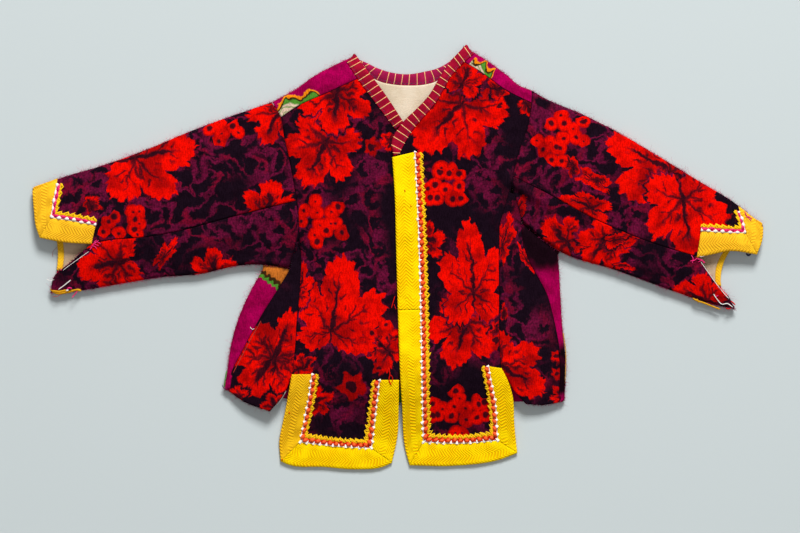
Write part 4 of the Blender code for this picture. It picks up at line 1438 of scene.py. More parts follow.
# The long threads below them: distance from the tape, radius and finish
BRAID_CORE = ((0.3, 0.5, 0), (1.6, 0.8, 2), (3.0, 0.9, 2), (4.6, 0.9, 3))


@dataclass
class Braids:
    """The knotted braids along the tapes: pale teeth, bright knots and yellow picots."""

    pitches: dict[Twist, float] = field(default_factory=lambda: {Twist.CORAL: 5.9, Twist.PINK: 7.0})
    sides: int = 6
    picot_sides: int = 5

    def braid(
        self, node: str, line: Curve, inner: Curve, twist: Twist, finishes: Sequence[Material],
        level: Surface, seed: int,
    ) -> Piece:
        """One braid.

        Args:
            node: the CAD node that it stands for.
            line: the tape's inner edge.
            inner: the braid's far edge.
            twist: its kind.
            finishes: the materials of its teeth, knots, knots' second halves, which on the coral braid paint the knots'
                shaded side, and picots.
            level: the height rule of the cloth.
            seed: makes its unevenness its own.
        Returns:
            The finished object.
        """
        gap = float(np.linalg.norm(line(0.5) - inner(0.5)))

        def put_at(t: Array, away: Array, lift: Array) -> Array:
            """The points in space at shares along, distances from the tape and lifts over the cloth.

            Args:
                t: shares along.
                away: distances from the tape.
                lift: heights over the cloth.
            Returns:
                A point for each.
            """
            edge = line(t)
            plan = edge + (inner(t) - edge) * (away / gap)[..., None]
            return np.concatenate([plan, (level(plan.reshape(-1, 2)).reshape(t.shape) + lift)[..., None]], -1)

        rng = np.random.default_rng(seed)
        count = max(2, round(line.length / self.pitches[twist]))
        step = 1 / count
        knots = (np.arange(count) + 0.5) * step + rng.normal(0, 0.03, count) * step
        sheet = SheetMesh(f"{node}_yarn")
        gaps = np.append(knots - step / 2, knots[-1] + step / 2).clip(0, 1)
        base = np.linspace(0, 1, count * 3)
        for away, radius, slot in BRAID_CORE:
            path = put_at(base, np.full(len(base), away), np.full(len(base), 0.4))[None]
            sheet.add_yarns(path, np.full((1, len(base)), radius), self.picot_sides, slot)
        for offsets, lifts, radii, slot in BRAID_THREADS[twist]:
            # The teeth sit between the knots
            starts = knots if slot else gaps
            along, away = np.array(offsets).T
            t = starts[:, None] + along * step
            wobble = rng.normal(0, 0.30, (len(starts), 1))
            size = 1 + rng.normal(0, 0.12, (len(starts), 1))
            paths = put_at(np.clip(t, 0.0, 1.0), away + wobble, np.tile(lifts, (len(starts), 1)))
            sides = self.picot_sides if slot == 3 else self.sides
            sheet.add_yarns(paths, np.tile(radii, (len(starts), 1)) * size, sides, slot)
        return trim(sheet.finish(finishes), node)

    def build(self, coral: Sequence[Material], pink: Sequence[Material]) -> dict[str, list[Piece]]:
        """Builds every braid.

        Args:
            coral: the four materials of the braids on the fronts.
            pink: the four materials of the braids on the cuffs.
        Returns:
            The braids by the cut that they lie on.
        """
        rows = (
            ("front_left", "braid_front_left", LEFT.front_line,
             ((29, -157), (28, -126), (27.2, -65), (25.7, -3.5), (23.7, 49), (21.7, 90)), Twist.CORAL),
            ("front_left", "braid_hem_left", LEFT.hem_line, ((29, -157), (54.5, -158), (81.5, -155.5)), Twist.CORAL),
            ("front_left", "braid_side_left", LEFT.side_line,
             ((81.5, -155.5), (79, -126), (75.5, -108.5), (73.3, -96.5)), Twist.CORAL),
            ("front_right", "braid_side_right", RIGHT.side_line,
             ((-79, -157), (-75.5, -143.5), (-71, -121.5), (-68.3, -103)), Twist.CORAL),
            (
                "front_right", "braid_hem_right", RIGHT.hem_line, ((-79, -157), (-54.5, -160.3), (-28.5, -162.2)),
                Twist.CORAL,
            ),
            ("front_right", "braid_inner_right", RIGHT.front_line,
             ((-28.5, -162.2), (-25.6, -139), (-22, -108.5)), Twist.CORAL),
            ("sleeve_right", "braid_cuff_right", RIGHT.cuff_line, ((-297, 39), (-295, 50), (-292, 64)), Twist.PINK),
            ("sleeve_right", "braid_slit_right", RIGHT.slit_line, ((-297, 39), (-280, 36.5), (-263, 33)), Twist.PINK),
            ("sleeve_left", "braid_cuff_left", LEFT.cuff_line, ((298.5, 26.5), (297, 33), (294, 41)), Twist.PINK),
            ("sleeve_left", "braid_slit_left", LEFT.slit_line, ((298.5, 26.5), (283, 27), (265, 28.5)), Twist.PINK),
        )
        made: dict[str, list[Piece]] = {}
        for seed, (cut, node, line, inner, twist) in enumerate(rows):
            level = LAY.right_front if node == "braid_inner_right" else LAY.front
            level = LAY.rounded if twist is Twist.PINK else level
            finishes = coral if twist is Twist.CORAL else pink
            made.setdefault(cut, []).append(self.braid(node, line, Curve(*inner), twist, finishes, level, seed + 11))
        return made


@dataclass
class Neckline(Cloth):
    """The bound neck edge with its cross stitches, and the lining inside."""

    fineness: float = 1.4
    stitch_pitch: float = 5.9
    dash_pitch: float = 3.4
    cut_width: float = 0.026
    cut_ease: float = 1.03
    wall: float = 0.9
    thickness: float = 0.6
    seam: float = 0.0

    def binding(
        self, node: str, outer: Curve, inner: Curve, level: Surface, finish: Material,
        stitch: Material, seam: Material, seed: int,
    ) -> None:
        """One length of binding, rounded, turned over the neck's edge and stitched across.

        Args:
            node: the CAD node that it stands for.
            outer: its edge on the garment.
            inner: its edge at the neck.
            level: the height rule below it.
            finish: its cloth.
            stitch: the cross stitches' yarn.
            seam: the sewing line's thread.
            seed: makes its unevenness its own.
        """
        width = float(np.linalg.norm(outer(0.5) - inner(0.5)))
        profile = np.array([
            (0.0, 0.5), (0.5, 1.0), (1.2, 1.25), (1.9, 1.1), (2.7, 1.45), (4.2, 1.75), (width * 0.55, 1.85),
            (width * 0.72, 1.8), (width * 0.85, 1.6), (width * 0.94, 1.2), (width + 0.2, 0.4),
            (width + 0.5, -0.6), (width + 0.2, -1.5), (width - 0.7, -1.9),
        ])
        inset, lift = profile.T
        around = run_along(profile)
        rng = np.random.default_rng(seed)

        def surface(away: Array, v: Array, over: Array) -> Array:
            """Points at distances from the garment's side, over the cloth.

            Args:
                away: distances from the garment's side.
                v: shares along.
                over: heights over the cloth.
            Returns:
                A point for each.
            """
            other = inner(v)
            edge = outer(outer.near(other)[1])
            plan = edge + (other - edge) * (away[:, None] / width)
            held = edge + (other - edge) * np.clip(away[:, None] / width, 0, 1)
            puff = 0.14 * np.sin(2 * math.pi * v * outer.length / self.stitch_pitch) * np.clip(over, 0, 2)
            return raised(plan, np.maximum(level(held) + over + puff, 0.05))

        def place(u: Array, v: Array) -> Array:
            """The binding's points."""
            column = column_of(u)
            return surface(inset[column], v, lift[column])

        def flat(u: Array, v: Array) -> Array:
            """Across and along the binding."""
            return np.column_stack([around[column_of(u)], v * outer.length])

        sheet = SheetMesh(f"{node}_cloth")
        sheet.add(np.arange(len(profile)), steps(0, 1, self.count(outer.length)), place, flat)
        piece = sheet.finish([finish], self.wall)
        threads = SheetMesh(f"{node}_stitches")
        count = int(outer.length / self.stitch_pitch)
        spots = (np.arange(count) + 0.5) / count + rng.normal(0, 0.05, count) / count
        # The stitches lie on the binding up to its turned edge
        share, known = np.linspace(0, 1, 9), np.linspace(0, 1, len(inset) - 2)
        away, over = np.interp(share, known, inset[:-2]), np.interp(share, known, lift[:-2]) + 0.16
        tilt = rng.normal(0.6, 0.35, count)[:, None] * (share - 0.5) * 1.6 / outer.length
        v = np.clip(spots[:, None] + tilt, 0, 1)
        paths = surface(np.tile(away, count), v.ravel(), np.tile(over, count)).reshape(count, 9, 3)
        threads.add_yarns(paths, np.tile(np.array([0.24] + [0.34] * 7 + [0.24]), (count, 1)), 5, 0)
        dashes = int(outer.length / self.dash_pitch)
        spots = (np.arange(dashes) + 0.5) / dashes
        v = np.clip(spots[:, None] + np.linspace(-0.36, 0.36, 4) / dashes, 0, 1)
        lifts = np.tile(np.array([1.15, 1.38, 1.38, 1.15]), dashes)
        paths = surface(np.full(dashes * 4, 1.9), v.ravel(), lifts).reshape(dashes, 4, 3)
        threads.add_yarns(paths, np.tile(np.array([0.1, 0.24, 0.24, 0.1]), (dashes, 1)), 4, 1)
        sewn = trim(threads.finish([stitch, seam]))
        cut = (self.cut_width, outer.length * MM * self.cut_ease)
        self.declare(piece, node, "maroon_binding", cut, held="folded", trims=[sewn])

    def build(
        self, maroon: Material, rose: Material, lining: Material,
        stitch: Material, seam: Material,
    ) -> None:
        """Builds the three lengths of binding and the lining.

        Args:
            maroon: the fronts' binding.
            rose: the back's binding.
            lining: the lining cotton.
            stitch: the cross stitches' yarn.
            seam: the sewing line's thread.
        """
        self.binding(
            "neck_binding_right", Curve((-44.6, 170.3), (-38, 159.5), (-19.5, 134), (-1, 109.5)),
            Curve((-37.6, 177), (-25, 160), (-12, 142.5), (5.5, 116.2)),
            LAY.over_shoulders(LAY.right_front), maroon, stitch, seam, 3,
        )
        self.binding(
            "neck_binding_left",
            Curve(
                (2.2, 90), (6.4, 98.5), (14.6, 111.5), (26.4, 125.5), (34.8, 136), (39.8, 144.5), (46.5, 156.5),
                (56.4, 167.6), (67.5, 177.5),
            ),
            Curve(
                (-3.2, 87), (-5, 96.8), (5, 116.5), (17, 128.5), (27.5, 140), (37, 156), (43.5, 166), (52, 176),
                (60.2, 184.8),
            ),
            LAY.over_shoulders(LAY.front), maroon, stitch, seam, 4,
        )
        lower = Curve(
            (-31.5, 167), (-25, 158.5), (-15.5, 153), (-4.5, 150.5), (9, 149.5), (25, 150.5), (33.5, 153),
            (42, 160), (47, 167),
        )
        upper = BACK_NECK.between((-36, 176), (52, 177))
        self.binding(
            "neck_binding_back", lower, upper, lambda points: np.full(len(points), 2.0), rose, stitch, seam, 5,
        )
        foot = Curve((-20, 104), (25, 104))
        piece = self.laid(
            "neck_lining_cloth", coons(chord(foot, lower, 0.0), chord(foot, lower, 1.0), foot, lower),
            steps(0, 1, 34), steps(0, 1, 30), lambda plan: 3.0 + 0.18 * ripple(plan, 24.0, 1.2), lining,
        )
        self.declare(piece, "neck_lining", "cream_lining", (0.07, 0.058), ["back_cloth"])


@dataclass
class CuffInsides(Cloth):
    """What shows inside the open cuffs: the back layer's taped edge and its lining."""

    level: float = 2.95
    strip_width: float = 0.012
    lining_size: Point = (0.055, 0.055)
    thickness: float = 0.6
    seam: float = 0.0

    def height(self, plan: Array) -> Array:
        """The height on the inner face of the back layer, with slight waves."""
        return self.level + 0.15 * ripple(plan, 15.0, 2.4)

    def build(self, tape: Material, lining: Material) -> None:
        """Builds both cuffs' insides.

        Args:
            tape: the tape's material.
            lining: the lining's material.
        """
        cuffs = (
            ("right", RIGHT.cuff_back.between((-299, -12.5), (-307, 37)), 5.5, Curve((-262, -10), (-262, 30))),
            ("left", LEFT.cuff_back.between((284, -26.5), (306, 16)), -5.5, Curve((258, -14), (262, 22))),
        )
        for side, outer, step, far in cuffs:
            inner = Curve(*(tuple(outer(t) + np.array((step, 0))) for t in np.linspace(0, 1, 4)))
            strip = (self.strip_width, outer.length * MM * CUT_EASE)
            for node, first, second, counts, finish, slot, cut in (
                (f"cuff_tape_back_{side}", outer, inner, (4, 30), tape, "yellow_tape", strip),
                (f"cuff_lining_{side}", inner, far, (20, 24), lining, "cream_lining", self.lining_size),
            ):
                patch = coons(first, second, chord(first, second, 0.0), chord(first, second, 1.0))
                us, vs = (steps(0, 1, count) for count in counts)
                piece = self.laid(f"{node}_cloth", patch, us, vs, self.height, finish)
                self.declare(piece, node, slot, cut, [f"sleeve_upper_{side}_cloth"])


SEWING_YARNS = {
    "pink": "pink_yarn", "cream": "white_yarn", "red": "red_yarn", "rust": "rust_thread", "amber": "amber_yarn",
    "slate": "slate_thread", "green": "green_thread", "straw": "straw_thread",
}
# Thread ends, specks and frayed edges: yarn, radius, lift over the cloth and plan points
SEWN_THREADS = (
    ("pink", 0.5, 0.7, ((-261.3, 13.6), (-264.8, 10.9), (-269.2, 5.3))),
    ("pink", 0.45, 0.9, ((-263.1, 14), (-265.7, 11.4), (-261.3, 8.8))),
    ("pink", 0.4, 0.9, ((-266.6, 10.1), (-263.1, 12.3), (-259.6, 10.5))),
    ("pink", 0.4, 0.8, ((-268.3, 8.8), (-264.8, 8.3), (-263.1, 6.1))),
    ("cream", 0.22, 0.2, ((-270.1, 3.9), (-278, -1.8), (-286.7, -7.9), (-292.9, -12.7))),
    ("amber", 1.3, -1.3, ((-304.2, -28.9), (-299.9, -31.9), (-288.5, -31.3), (-279.7, -29.6), (-277.1, -30.6))),
    ("amber", 1, -0.4, ((-302.5, -30.6), (-295.5, -31.1), (-290.2, -29.8))),
    ("cream", 0.3, 0.3, ((-307.3, -20.1), (-304.2, -21.4), (-300.7, -20.6))),
    ("cream", 0.45, 0.6, ((-286, -21), (-292, -25.8), (-297, -29.3))),
    ("rust", 0.25, 0.4, ((-295, -33.1), (-297.3, -35), (-301.9, -35.7))),
    ("pink", 0.5, 0.5, ((-280.3, -30.8), (-282.8, -33.7), (-285, -36.4))),
    ("pink", 0.7, 1.6, ((-289.4, -28.9), (-287.6, -27.8), (-285, -28.5))),
    ("cream", 0.7, 1.6, ((-290.2, -30.2), (-288, -29.8))),
    ("pink", 0.5, 0.4, ((-294.6, -11.4), (-294.2, -12.7))),
    ("rust", 0.12, -9, ((-298.5, 8.1), (-302.6, 3.5), (-302.6, -0.9))),
    ("pink", 0.5, 0.7, ((257, 0.9), (258.7, -2.6), (257.8, -6.1))),
    ("pink", 0.5, 0.8, ((256.1, -4.4), (259.6, -3.9), (262.2, -1.8))),
    ("pink", 0.55, 0.8, ((262.2, -2.5), (265.3, -3.1), (269.2, -6))),
    ("pink", 0.45, 0.8, ((263.1, -5.3), (266.6, -3.9), (268.3, -6.6))),
    ("cream", 0.4, 0.4, ((262.6, 1.1), (265.7, -0.5), (269.8, 0.9))),
    ("cream", 0.25, 0.2, ((265.5, -5.3), (272.7, -15.5), (277.9, -22.8), (283, -29.2))),
    ("cream", 0.35, 0.3, ((283, -29.2), (287.3, -34.3), (290.2, -37.2))),
    ("cream", 0.42, 0.7, ((276.7, -33.3), (280, -38), (284.4, -42.3), (288.7, -41.6), (293.7, -44.8))),
    ("red", 0.6, 0.3, ((292, -39.4), (294.2, -41.1), (295.9, -42.9))),
    ("red", 0.6, 0.3, ((287.6, -45.5), (290.2, -46.4), (292, -45.5))),
    ("pink", 0.5, 0.7, ((278.8, -35.5), (281, -34.6))),
    ("amber", 0.8, -1, ((258.7, -36.8), (262.2, -39), (267.5, -40.7), (275.3, -43.8), (282.9, -46.7))),
    ("amber", 0.8, -0.6, ((262.2, -37.6), (264, -40.7))),
    ("pink", 0.5, 1.6, ((304, 39), (306, 35), (309.8, 31))),
    ("pink", 0.4, 1.6, ((305.1, 34.1), (307.7, 34.6), (310.4, 32.4))),
    ("slate", 0.8, -9, ((306, 2.1), (308, 0.5), (310.1, 1.8))),
    ("rust", 0.5, -7, ((280.8, -5.3), (281.8, -10.5))),
    ("red", 0.6, 2, ((-7.9, -98.1), (-6.6, -103.3), (-7.4, -108.6), (-5.3, -112.9))),
    ("red", 0.45, 2.2, ((-6.6, -103.3), (-4.4, -105.9), (-4.8, -110.3))),
    ("red", 0.4, 1, ((-2.2, -35), (-3.5, -39.4), (-5.3, -45.5))),
    ("red", 0.3, 1, ((-3.1, -42), (-1.3, -46.4))),
    ("red", 0.6, 1.75, ((-95, -136.6), (-94.7, -138.3))),
    ("red", 0.5, 1.75, ((-101.6, -178.2), (-100.4, -178.9))),
    ("red", 0.5, 1.75, ((6.4, 57.8), (6.6, 56))),
    ("red", 0.45, 1.75, ((11.5, 44.1), (12, 43.1))),
    ("cream", 0.4, -0.2, ((-97.6, -118.2), (-101.1, -124.3), (-105.5, -130.4))),
    ("slate", 0.4, 0.1, ((-153.7, -112.9), (-151.9, -116), (-150.1, -116.4))),
    ("green", 0.55, 0.2, ((-149.7, -100.7), (-151, -107.7), (-151.9, -114.7))),
    ("cream", 0.3, 0.5, ((-129.1, -62.2), (-126.9, -64.3), (-125.2, -63.5))),
    ("rust", 0.3, 0.25, ((-119.5, -56.9), (-127.4, -70.9), (-135.3, -85.8), (-144, -102.4))),
    ("straw", 0.55, -1, ((145.3, -67.4), (147.5, -84), (147, -106.8), (144.9, -127.8))),
    ("red", 0.4, 0.4, ((-16.6, 159.8), (-16, 157.6))),
)


@dataclass
class Sewing:
    """Thread ends, tufts, frayed edges, and dark threads of painted shade in the seams."""

    depth: float = 1.7
    sides: int = 5
    step: float = 1.6
    backing_step: float = 4.0
    backing_radius: float = 1.3
    floor_levels: tuple[Point, ...] = ((-8.0, 0.2), (-5.0, 0.5))

    def path(self, points: Curve, lift: float, count: int) -> Array:
        """A thread's way over the cloth, or over the floor where the lift is well below the cloth.

        Args:
            points: the thread in plan.
            lift: its height over the cloth, or under -5 for a thread on the floor.
            count: how many points to give.
        Returns:
            The points.
        """
        plan = points(np.linspace(0, 1, count))
        floor = next((height for below, height in self.floor_levels if lift < below), None)
        level = LAY.front(plan) + lift if floor is None else np.full(count, floor)
        return raised(plan, level + 0.25 * np.sin(np.linspace(0, 7, count)))

    def build(self, yarns: dict[str, Material]) -> None:
        """Builds the threads, and a dark thread of painted shade under each seam, from the yarns by name.

        Args:
            yarns: the yarns by name.
        """
        names = list(SEWING_YARNS)
        sheet = SheetMesh("loose_threads")
        for name, radius, lift, points in SEWN_THREADS:
            curve = Curve(*points)
            count = max(5, int(curve.length / self.step) + 3)
            thick = np.full(count, float(radius))
            thick[[0, -1]] *= 0.5
            sheet.add_yarns(self.path(curve, lift, count)[None], thick[None], self.sides, names.index(name))
        # A dark thread under each seam paints the shade in the gap between the trimmed cut edges
        seam_shade_slot = len(names)
        for half in (RIGHT, LEFT):
            for seam in (half.armhole, half.sleeve_seam, half.gore_seam, half.shoulder_seam, half.strip_seam):
                count = int(seam.length / self.backing_step) + 2
                plan = seam(np.linspace(0.03, 0.97, count))
                path = raised(plan, LAY.top(plan) - self.depth)
                sheet.add_yarns(path[None], np.full((1, count), self.backing_radius), self.sides, seam_shade_slot)
        finishes = [yarns[name] for name in (*SEWING_YARNS.values(), "seam_shadow")]
        trim(sheet.finish(finishes))


@dataclass
class Nap:
    """The loose fibres that stand off the brushed wool's edges."""

    per_mm: float = 2.6
    points: int = 5
    seed: int = 71
    short_share: float = 0.7
    short_reach: Point = (0.3, 1.3)
    longest: float = 5.5
    root_depth: float = 1.2
    thick_below: float = 1.4
    thick: float = 0.13
    thin: float = 0.075
    lowest: float = 0.15

    def fringe(
        self, sheet: SheetMesh, edge: Curve, inside: Point, height: float, slots: tuple[int, int],
        rng: np.random.Generator,
    ) -> None:
        """Fibres along one edge.

        Args:
            sheet: the mesh that they join.
            edge: the edge in plan.
            inside: a point on the cloth's side of the edge.
            height: the height of the edge.
            slots: the slot of the magenta fibres and that of the cloth's own colour.
            rng: the source of chance.
        """
        count = int(edge.length * self.per_mm)
        share = np.sort(rng.uniform(0, 1, count))
        root = edge(share)
        along = edge((share + 0.004).clip(0, 1)) - edge((share - 0.004).clip(0, 1))
        along /= np.maximum(np.linalg.norm(along, axis=1, keepdims=True), 1e-9)
        out = np.column_stack([along[:, 1], -along[:, 0]])
        out *= np.sign(((root - np.array(inside)) * out).sum(1))[:, None]
        short = rng.uniform(0, 1, count) < self.short_share
        reach = np.where(short, rng.uniform(*self.short_reach, count), rng.gamma(2.4, 0.9, count))
        reach = reach.clip(self.short_reach[0], self.longest)
        lean = rng.normal(0, 0.9, count)
        curl = rng.normal(0, 0.9, count)
        t = np.linspace(0, 1, self.points)
        away = -self.root_depth + (reach[:, None] + self.root_depth) * t
        slide = lean[:, None] * t * reach[:, None] + curl[:, None] * np.sin(math.pi * t * 1.6)
        plan = root[:, None] + out[:, None] * away[..., None] + along[:, None] * slide[..., None]
        level = height * rng.uniform(0.7, 1.5, count)[:, None] + rng.normal(0, 0.9, count)[:, None] * t
        paths = np.concatenate([plan, np.maximum(level, self.lowest)[..., None]], -1)
        thick = reach < self.thick_below
        radii = np.where(thick, self.thick, self.thin)[:, None] * np.linspace(1.0, 0.6, self.points)
        flats = root - out * 2.0
        own = (rng.uniform(0, 1, count) < 0.5) & thick
        for chosen, slot in ((own, slots[1]), (~own, slots[0])):
            sheet.add_yarns(paths[chosen], radii[chosen], 3, slot, flats[chosen])

    def build(self, finishes: dict[str, Material], magenta: Material) -> None:
        """Builds the fibres of every edge.

        Args:
            finishes: the cloth's materials by the cut's name.
            magenta: the fibres' other material.
        """
        names = list(finishes)
        rng = np.random.default_rng(self.seed)
        sheet = SheetMesh("loose_fibres")
        for half, side, sign in ((RIGHT, "right", -1), (LEFT, "left", 1)):
            for edge, inside, height, cut in (
                (half.sleeve_top, (205 * sign, 40), 4.4, "upper"), (half.sleeve_bottom, (205 * sign, 40), 4.2, "under"),
                (half.side_fold, (60 * sign, -40), 3.2, "back"), (half.shoulder_fold, (60 * sign, 60), 4.6, "back"),
                (half.gore_hem, (100 * sign, -90), 2.6, "gore"), (half.under_end, (240 * sign, 0), 4.0, "under"),
            ):
                own = names.index("back" if cut == "back" else f"{cut}_{side}")
                self.fringe(sheet, edge, inside, height, (len(names), own), rng)
        trim(sheet.finish([*finishes.values(), magenta]))


def put(tree: bpy.types.NodeTree, kind: str, inputs: dict, **settings: str | float | bool) -> bpy.types.Node:
    """Adds a shader node.

    Args:
        tree: the node tree.
        kind: the node's type, without its leading "ShaderNode".
        inputs: values or signals for its inputs.
        settings: the node's own options.
    Returns:
        The new node.
    """
    node = tree.nodes.new(f"ShaderNode{kind}")
    for option, value in settings.items():
        setattr(node, option, value)
    for key, value in inputs.items():
        if isinstance(value, Signal):
            tree.links.new(value.socket, node.inputs[key])
        else:
            node.inputs[key].default_value = value
    return node


def act(operation: str, *values: "Value") -> "Signal":
    """One node of arithmetic, on vectors where any of the values is one.

    Args:
        operation: the node's operation.
        values: its inputs in order, of which one at least is a signal.
    Returns:
        What the node gives.
    """
    sockets = [value.socket for value in values if isinstance(value, Signal)]
    kind = "Math"
    if any(socket.type != "VALUE" for socket in sockets):
        kind, values = "VectorMath", [(v,) * 3 if isinstance(v, float) else v for v in values]
    made = put(sockets[0].id_data, kind, dict(enumerate(values)), operation=operation)
    return Signal(made.outputs[0])


def step_of(operation: str, swapped: bool = False) -> Callable[["Signal", "Value"], "Signal"]:
    """A method of Signal for one operator, with its two sides swapped or not.

    Args:
        operation: the node's operation.
        swapped: whether the other value comes first.
    Returns:
        The method.
    """

    def method(self: "Signal", other: "Value") -> "Signal":
        """One step of arithmetic."""
        return act(operation, other, self) if swapped else act(operation, self, other)

    return method


class Signal:
    """A value, vector or colour that varies over the surface, and whose arithmetic adds nodes."""

    def __init__(self, socket: bpy.types.NodeSocket) -> None:
        """Stands for what a node's socket gives."""
        self.socket = socket
        self.wide = socket.type != "VALUE"

    __add__ = __radd__ = step_of("ADD")
    __sub__, __rsub__ = step_of("SUBTRACT"), step_of("SUBTRACT", swapped=True)
    __truediv__ = step_of("DIVIDE")
    __gt__, __lt__ = step_of("GREATER_THAN"), step_of("LESS_THAN")

    def __mul__(self, other: "Value") -> "Signal":
        """A product, or this vector scaled by a number.

        Args:
            other: what it is multiplied by.
        Returns:
            The product.
        """
        if self.wide and not getattr(other, "wide", isinstance(other, tuple)):
            return self.through("VectorMath", {"Scale": other}, operation="SCALE")
        return act("MULTIPLY", self, other)

    def __abs__(self) -> "Signal":
        """Its distance from zero."""
        return act("ABSOLUTE", self)

    def through(
        self, kind: str, inputs: dict | None = None, output: int | str = 0, **settings: str | float | bool,
    ) -> "Signal":
        """What a node gives that this signal feeds, with its other inputs, its output and its options."""
        made = put(self.socket.id_data, kind, {0: self, **(inputs or {})}, **settings)
        return Signal(made.outputs[output])

    def length(self) -> "Signal":
        """A vector's length."""
        return self.through("VectorMath", output="Value", operation="LENGTH")

    def rotated(self, angle: "Value") -> "Signal":
        """A vector turned round Z."""
        return self.through("VectorRotate", {"Angle": angle}, rotation_type="Z_AXIS")

    def split(self) -> tuple["Signal", ...]:
        """A vector's x, y and z."""
        return tuple(Signal(part) for part in put(self.socket.id_data, "SeparateXYZ", {0: self}).outputs)

    def step(self, low: float, high: float, start: float = 0.0, end: float = 1.0) -> "Signal":
        """A soft step from start at low to end at high."""
        inputs = {"From Min": low, "From Max": high, "To Min": start, "To Max": end}
        return self.through("MapRange", inputs, interpolation_type="SMOOTHSTEP")

    def noise(self, scale: float, detail: float = 2.0, output: int = 0, flat: bool = True) -> "Signal":
        """Soft noise: a value, or a colour where output is 1."""
        plane = "2D" if flat else "3D"
        return self.through("TexNoise", {"Scale": scale, "Detail": detail}, output, noise_dimensions=plane)

    def drift(self, scale: float, detail: float, reach: float) -> "Signal":
        """A soft wandering offset."""
        return (self.noise(scale, detail, 1) - 0.5) * reach

    def cells(self, scale: float, randomness: float) -> tuple["Signal", ...]:
        """Scattered points: the distance to the nearest, its colour and its place.

        Args:
            scale: how many points there are in a millimetre.
            randomness: how far they leave an even grid, from 0 to 1.
        Returns:
            A signal for each of the three.
        """
        inputs = {0: self, "Scale": scale, "Randomness": randomness}
        made = put(self.socket.id_data, "TexVoronoi", inputs, voronoi_dimensions="2D")
        return tuple(Signal(made.outputs[label]) for label in ("Distance", "Color", "Position"))

    def curve(self, points: Sequence[Point]) -> "Signal":
        """This value read through a curve given point by point.

        Args:
            points: the curve's points, from x = 0 to x = 1.
        Returns:
            The value read off it.
        """
        node = put(self.socket.id_data, "FloatCurve", {1: self})
        line = node.mapping.curves[0]
        for x, y in points[1:-1]:
            line.points.new(x, y)
        line.points[0].location, line.points[-1].location = points[0], points[-1]
        node.mapping.update()
        return Signal(node.outputs[0])


Value = Union[float, tuple, Signal]
Signals = dict[str, Signal]
ORIGIN = (0.0, 0.0, 0.0)
FULL_TURN = 2 * math.pi


def fract(value: Signal) -> Signal:
    """What is left of a value past its whole number."""
    return act("FRACT", value)


def sine(value: Signal) -> Signal:
    """A value's sine."""
    return act("SINE", value)


def joined(x: Signal, y: Signal) -> Signal:
    """A vector in plan."""
    return x.through("CombineXYZ", {1: y})


def either(choice: Signal, no: Value, yes: Value) -> Signal:
    """One of two values."""
    return choice.through("Mix", {2: no, 3: yes})


def mix(factor: Value, first: Value, second: Value, blend: str = "MIX") -> Signal:
    """Two colours mixed.

    Args:
        factor: the second colour's share.
        first: the first colour.
        second: the second colour.
        blend: how they are mixed.
    Returns:
        The mixed colour.
    """
    tree = next(value.socket.id_data for value in (factor, first, second) if isinstance(value, Signal))
    inputs = {0: factor, 6: first, 7: second}
    return Signal(put(tree, "Mix", inputs, data_type="RGBA", blend_type=blend).outputs[2])


def most(values: Sequence[Signal]) -> Value:
    """The largest of several values, or 0 where there is none."""
    return reduce(lambda one, other: act("MAXIMUM", one, other), values) if values else 0.0


class Pattern:
    """A shader node group, built once and placed in each material with its own values."""

    name = ""
    inputs: dict[str, float | tuple[float, ...]] = {}
    outputs: tuple[str, ...] = ()

    def wire(self, given: Signals) -> Signals:
        """Links the group's nodes.

        Args:
            given: the group's inputs by label.
        Returns:
            A signal for each output.
        """
        raise NotImplementedError

    def tree(self) -> bpy.types.NodeTree:
        """The group's node tree, made the first time that it is asked for.

        Returns:
            The tree.
        """
        made = bpy.data.node_groups.get(self.name)
        if made is None:
            made = bpy.data.node_groups.new(self.name, "ShaderNodeTree")
            for label, default in self.inputs.items():
                kind = "NodeSocketVector" if isinstance(default, tuple) else "NodeSocketFloat"
                made.interface.new_socket(label, in_out="INPUT", socket_type=kind).default_value = default
            for label in self.outputs:
                made.interface.new_socket(label, in_out="OUTPUT", socket_type="NodeSocketFloat")
            entry, leave = made.nodes.new("NodeGroupInput"), made.nodes.new("NodeGroupOutput")
            given = {label: Signal(entry.outputs[label]) for label in self.inputs}
            for label, signal in self.wire(given).items():
                made.links.new(signal.socket, leave.inputs[label])
        return made

    def place(self, vector: Signal, **values: Value) -> Signals:
        """Puts the group in a material.

        Args:
            vector: where on the cloth.
            values: what goes to the other inputs, with the labels in lower case.
        Returns:
            The group's outputs by label.
        """
        tree = vector.socket.id_data
        node = tree.nodes.new("ShaderNodeGroup")
        node.node_tree = self.tree()
        for label, value in {"vector": vector, **values}.items():
            socket = node.inputs[label.capitalize()]
            if isinstance(value, Signal):
                tree.links.new(value.socket, socket)
            else:
                socket.default_value = value
        return {label: Signal(node.outputs[label]) for label in self.outputs}


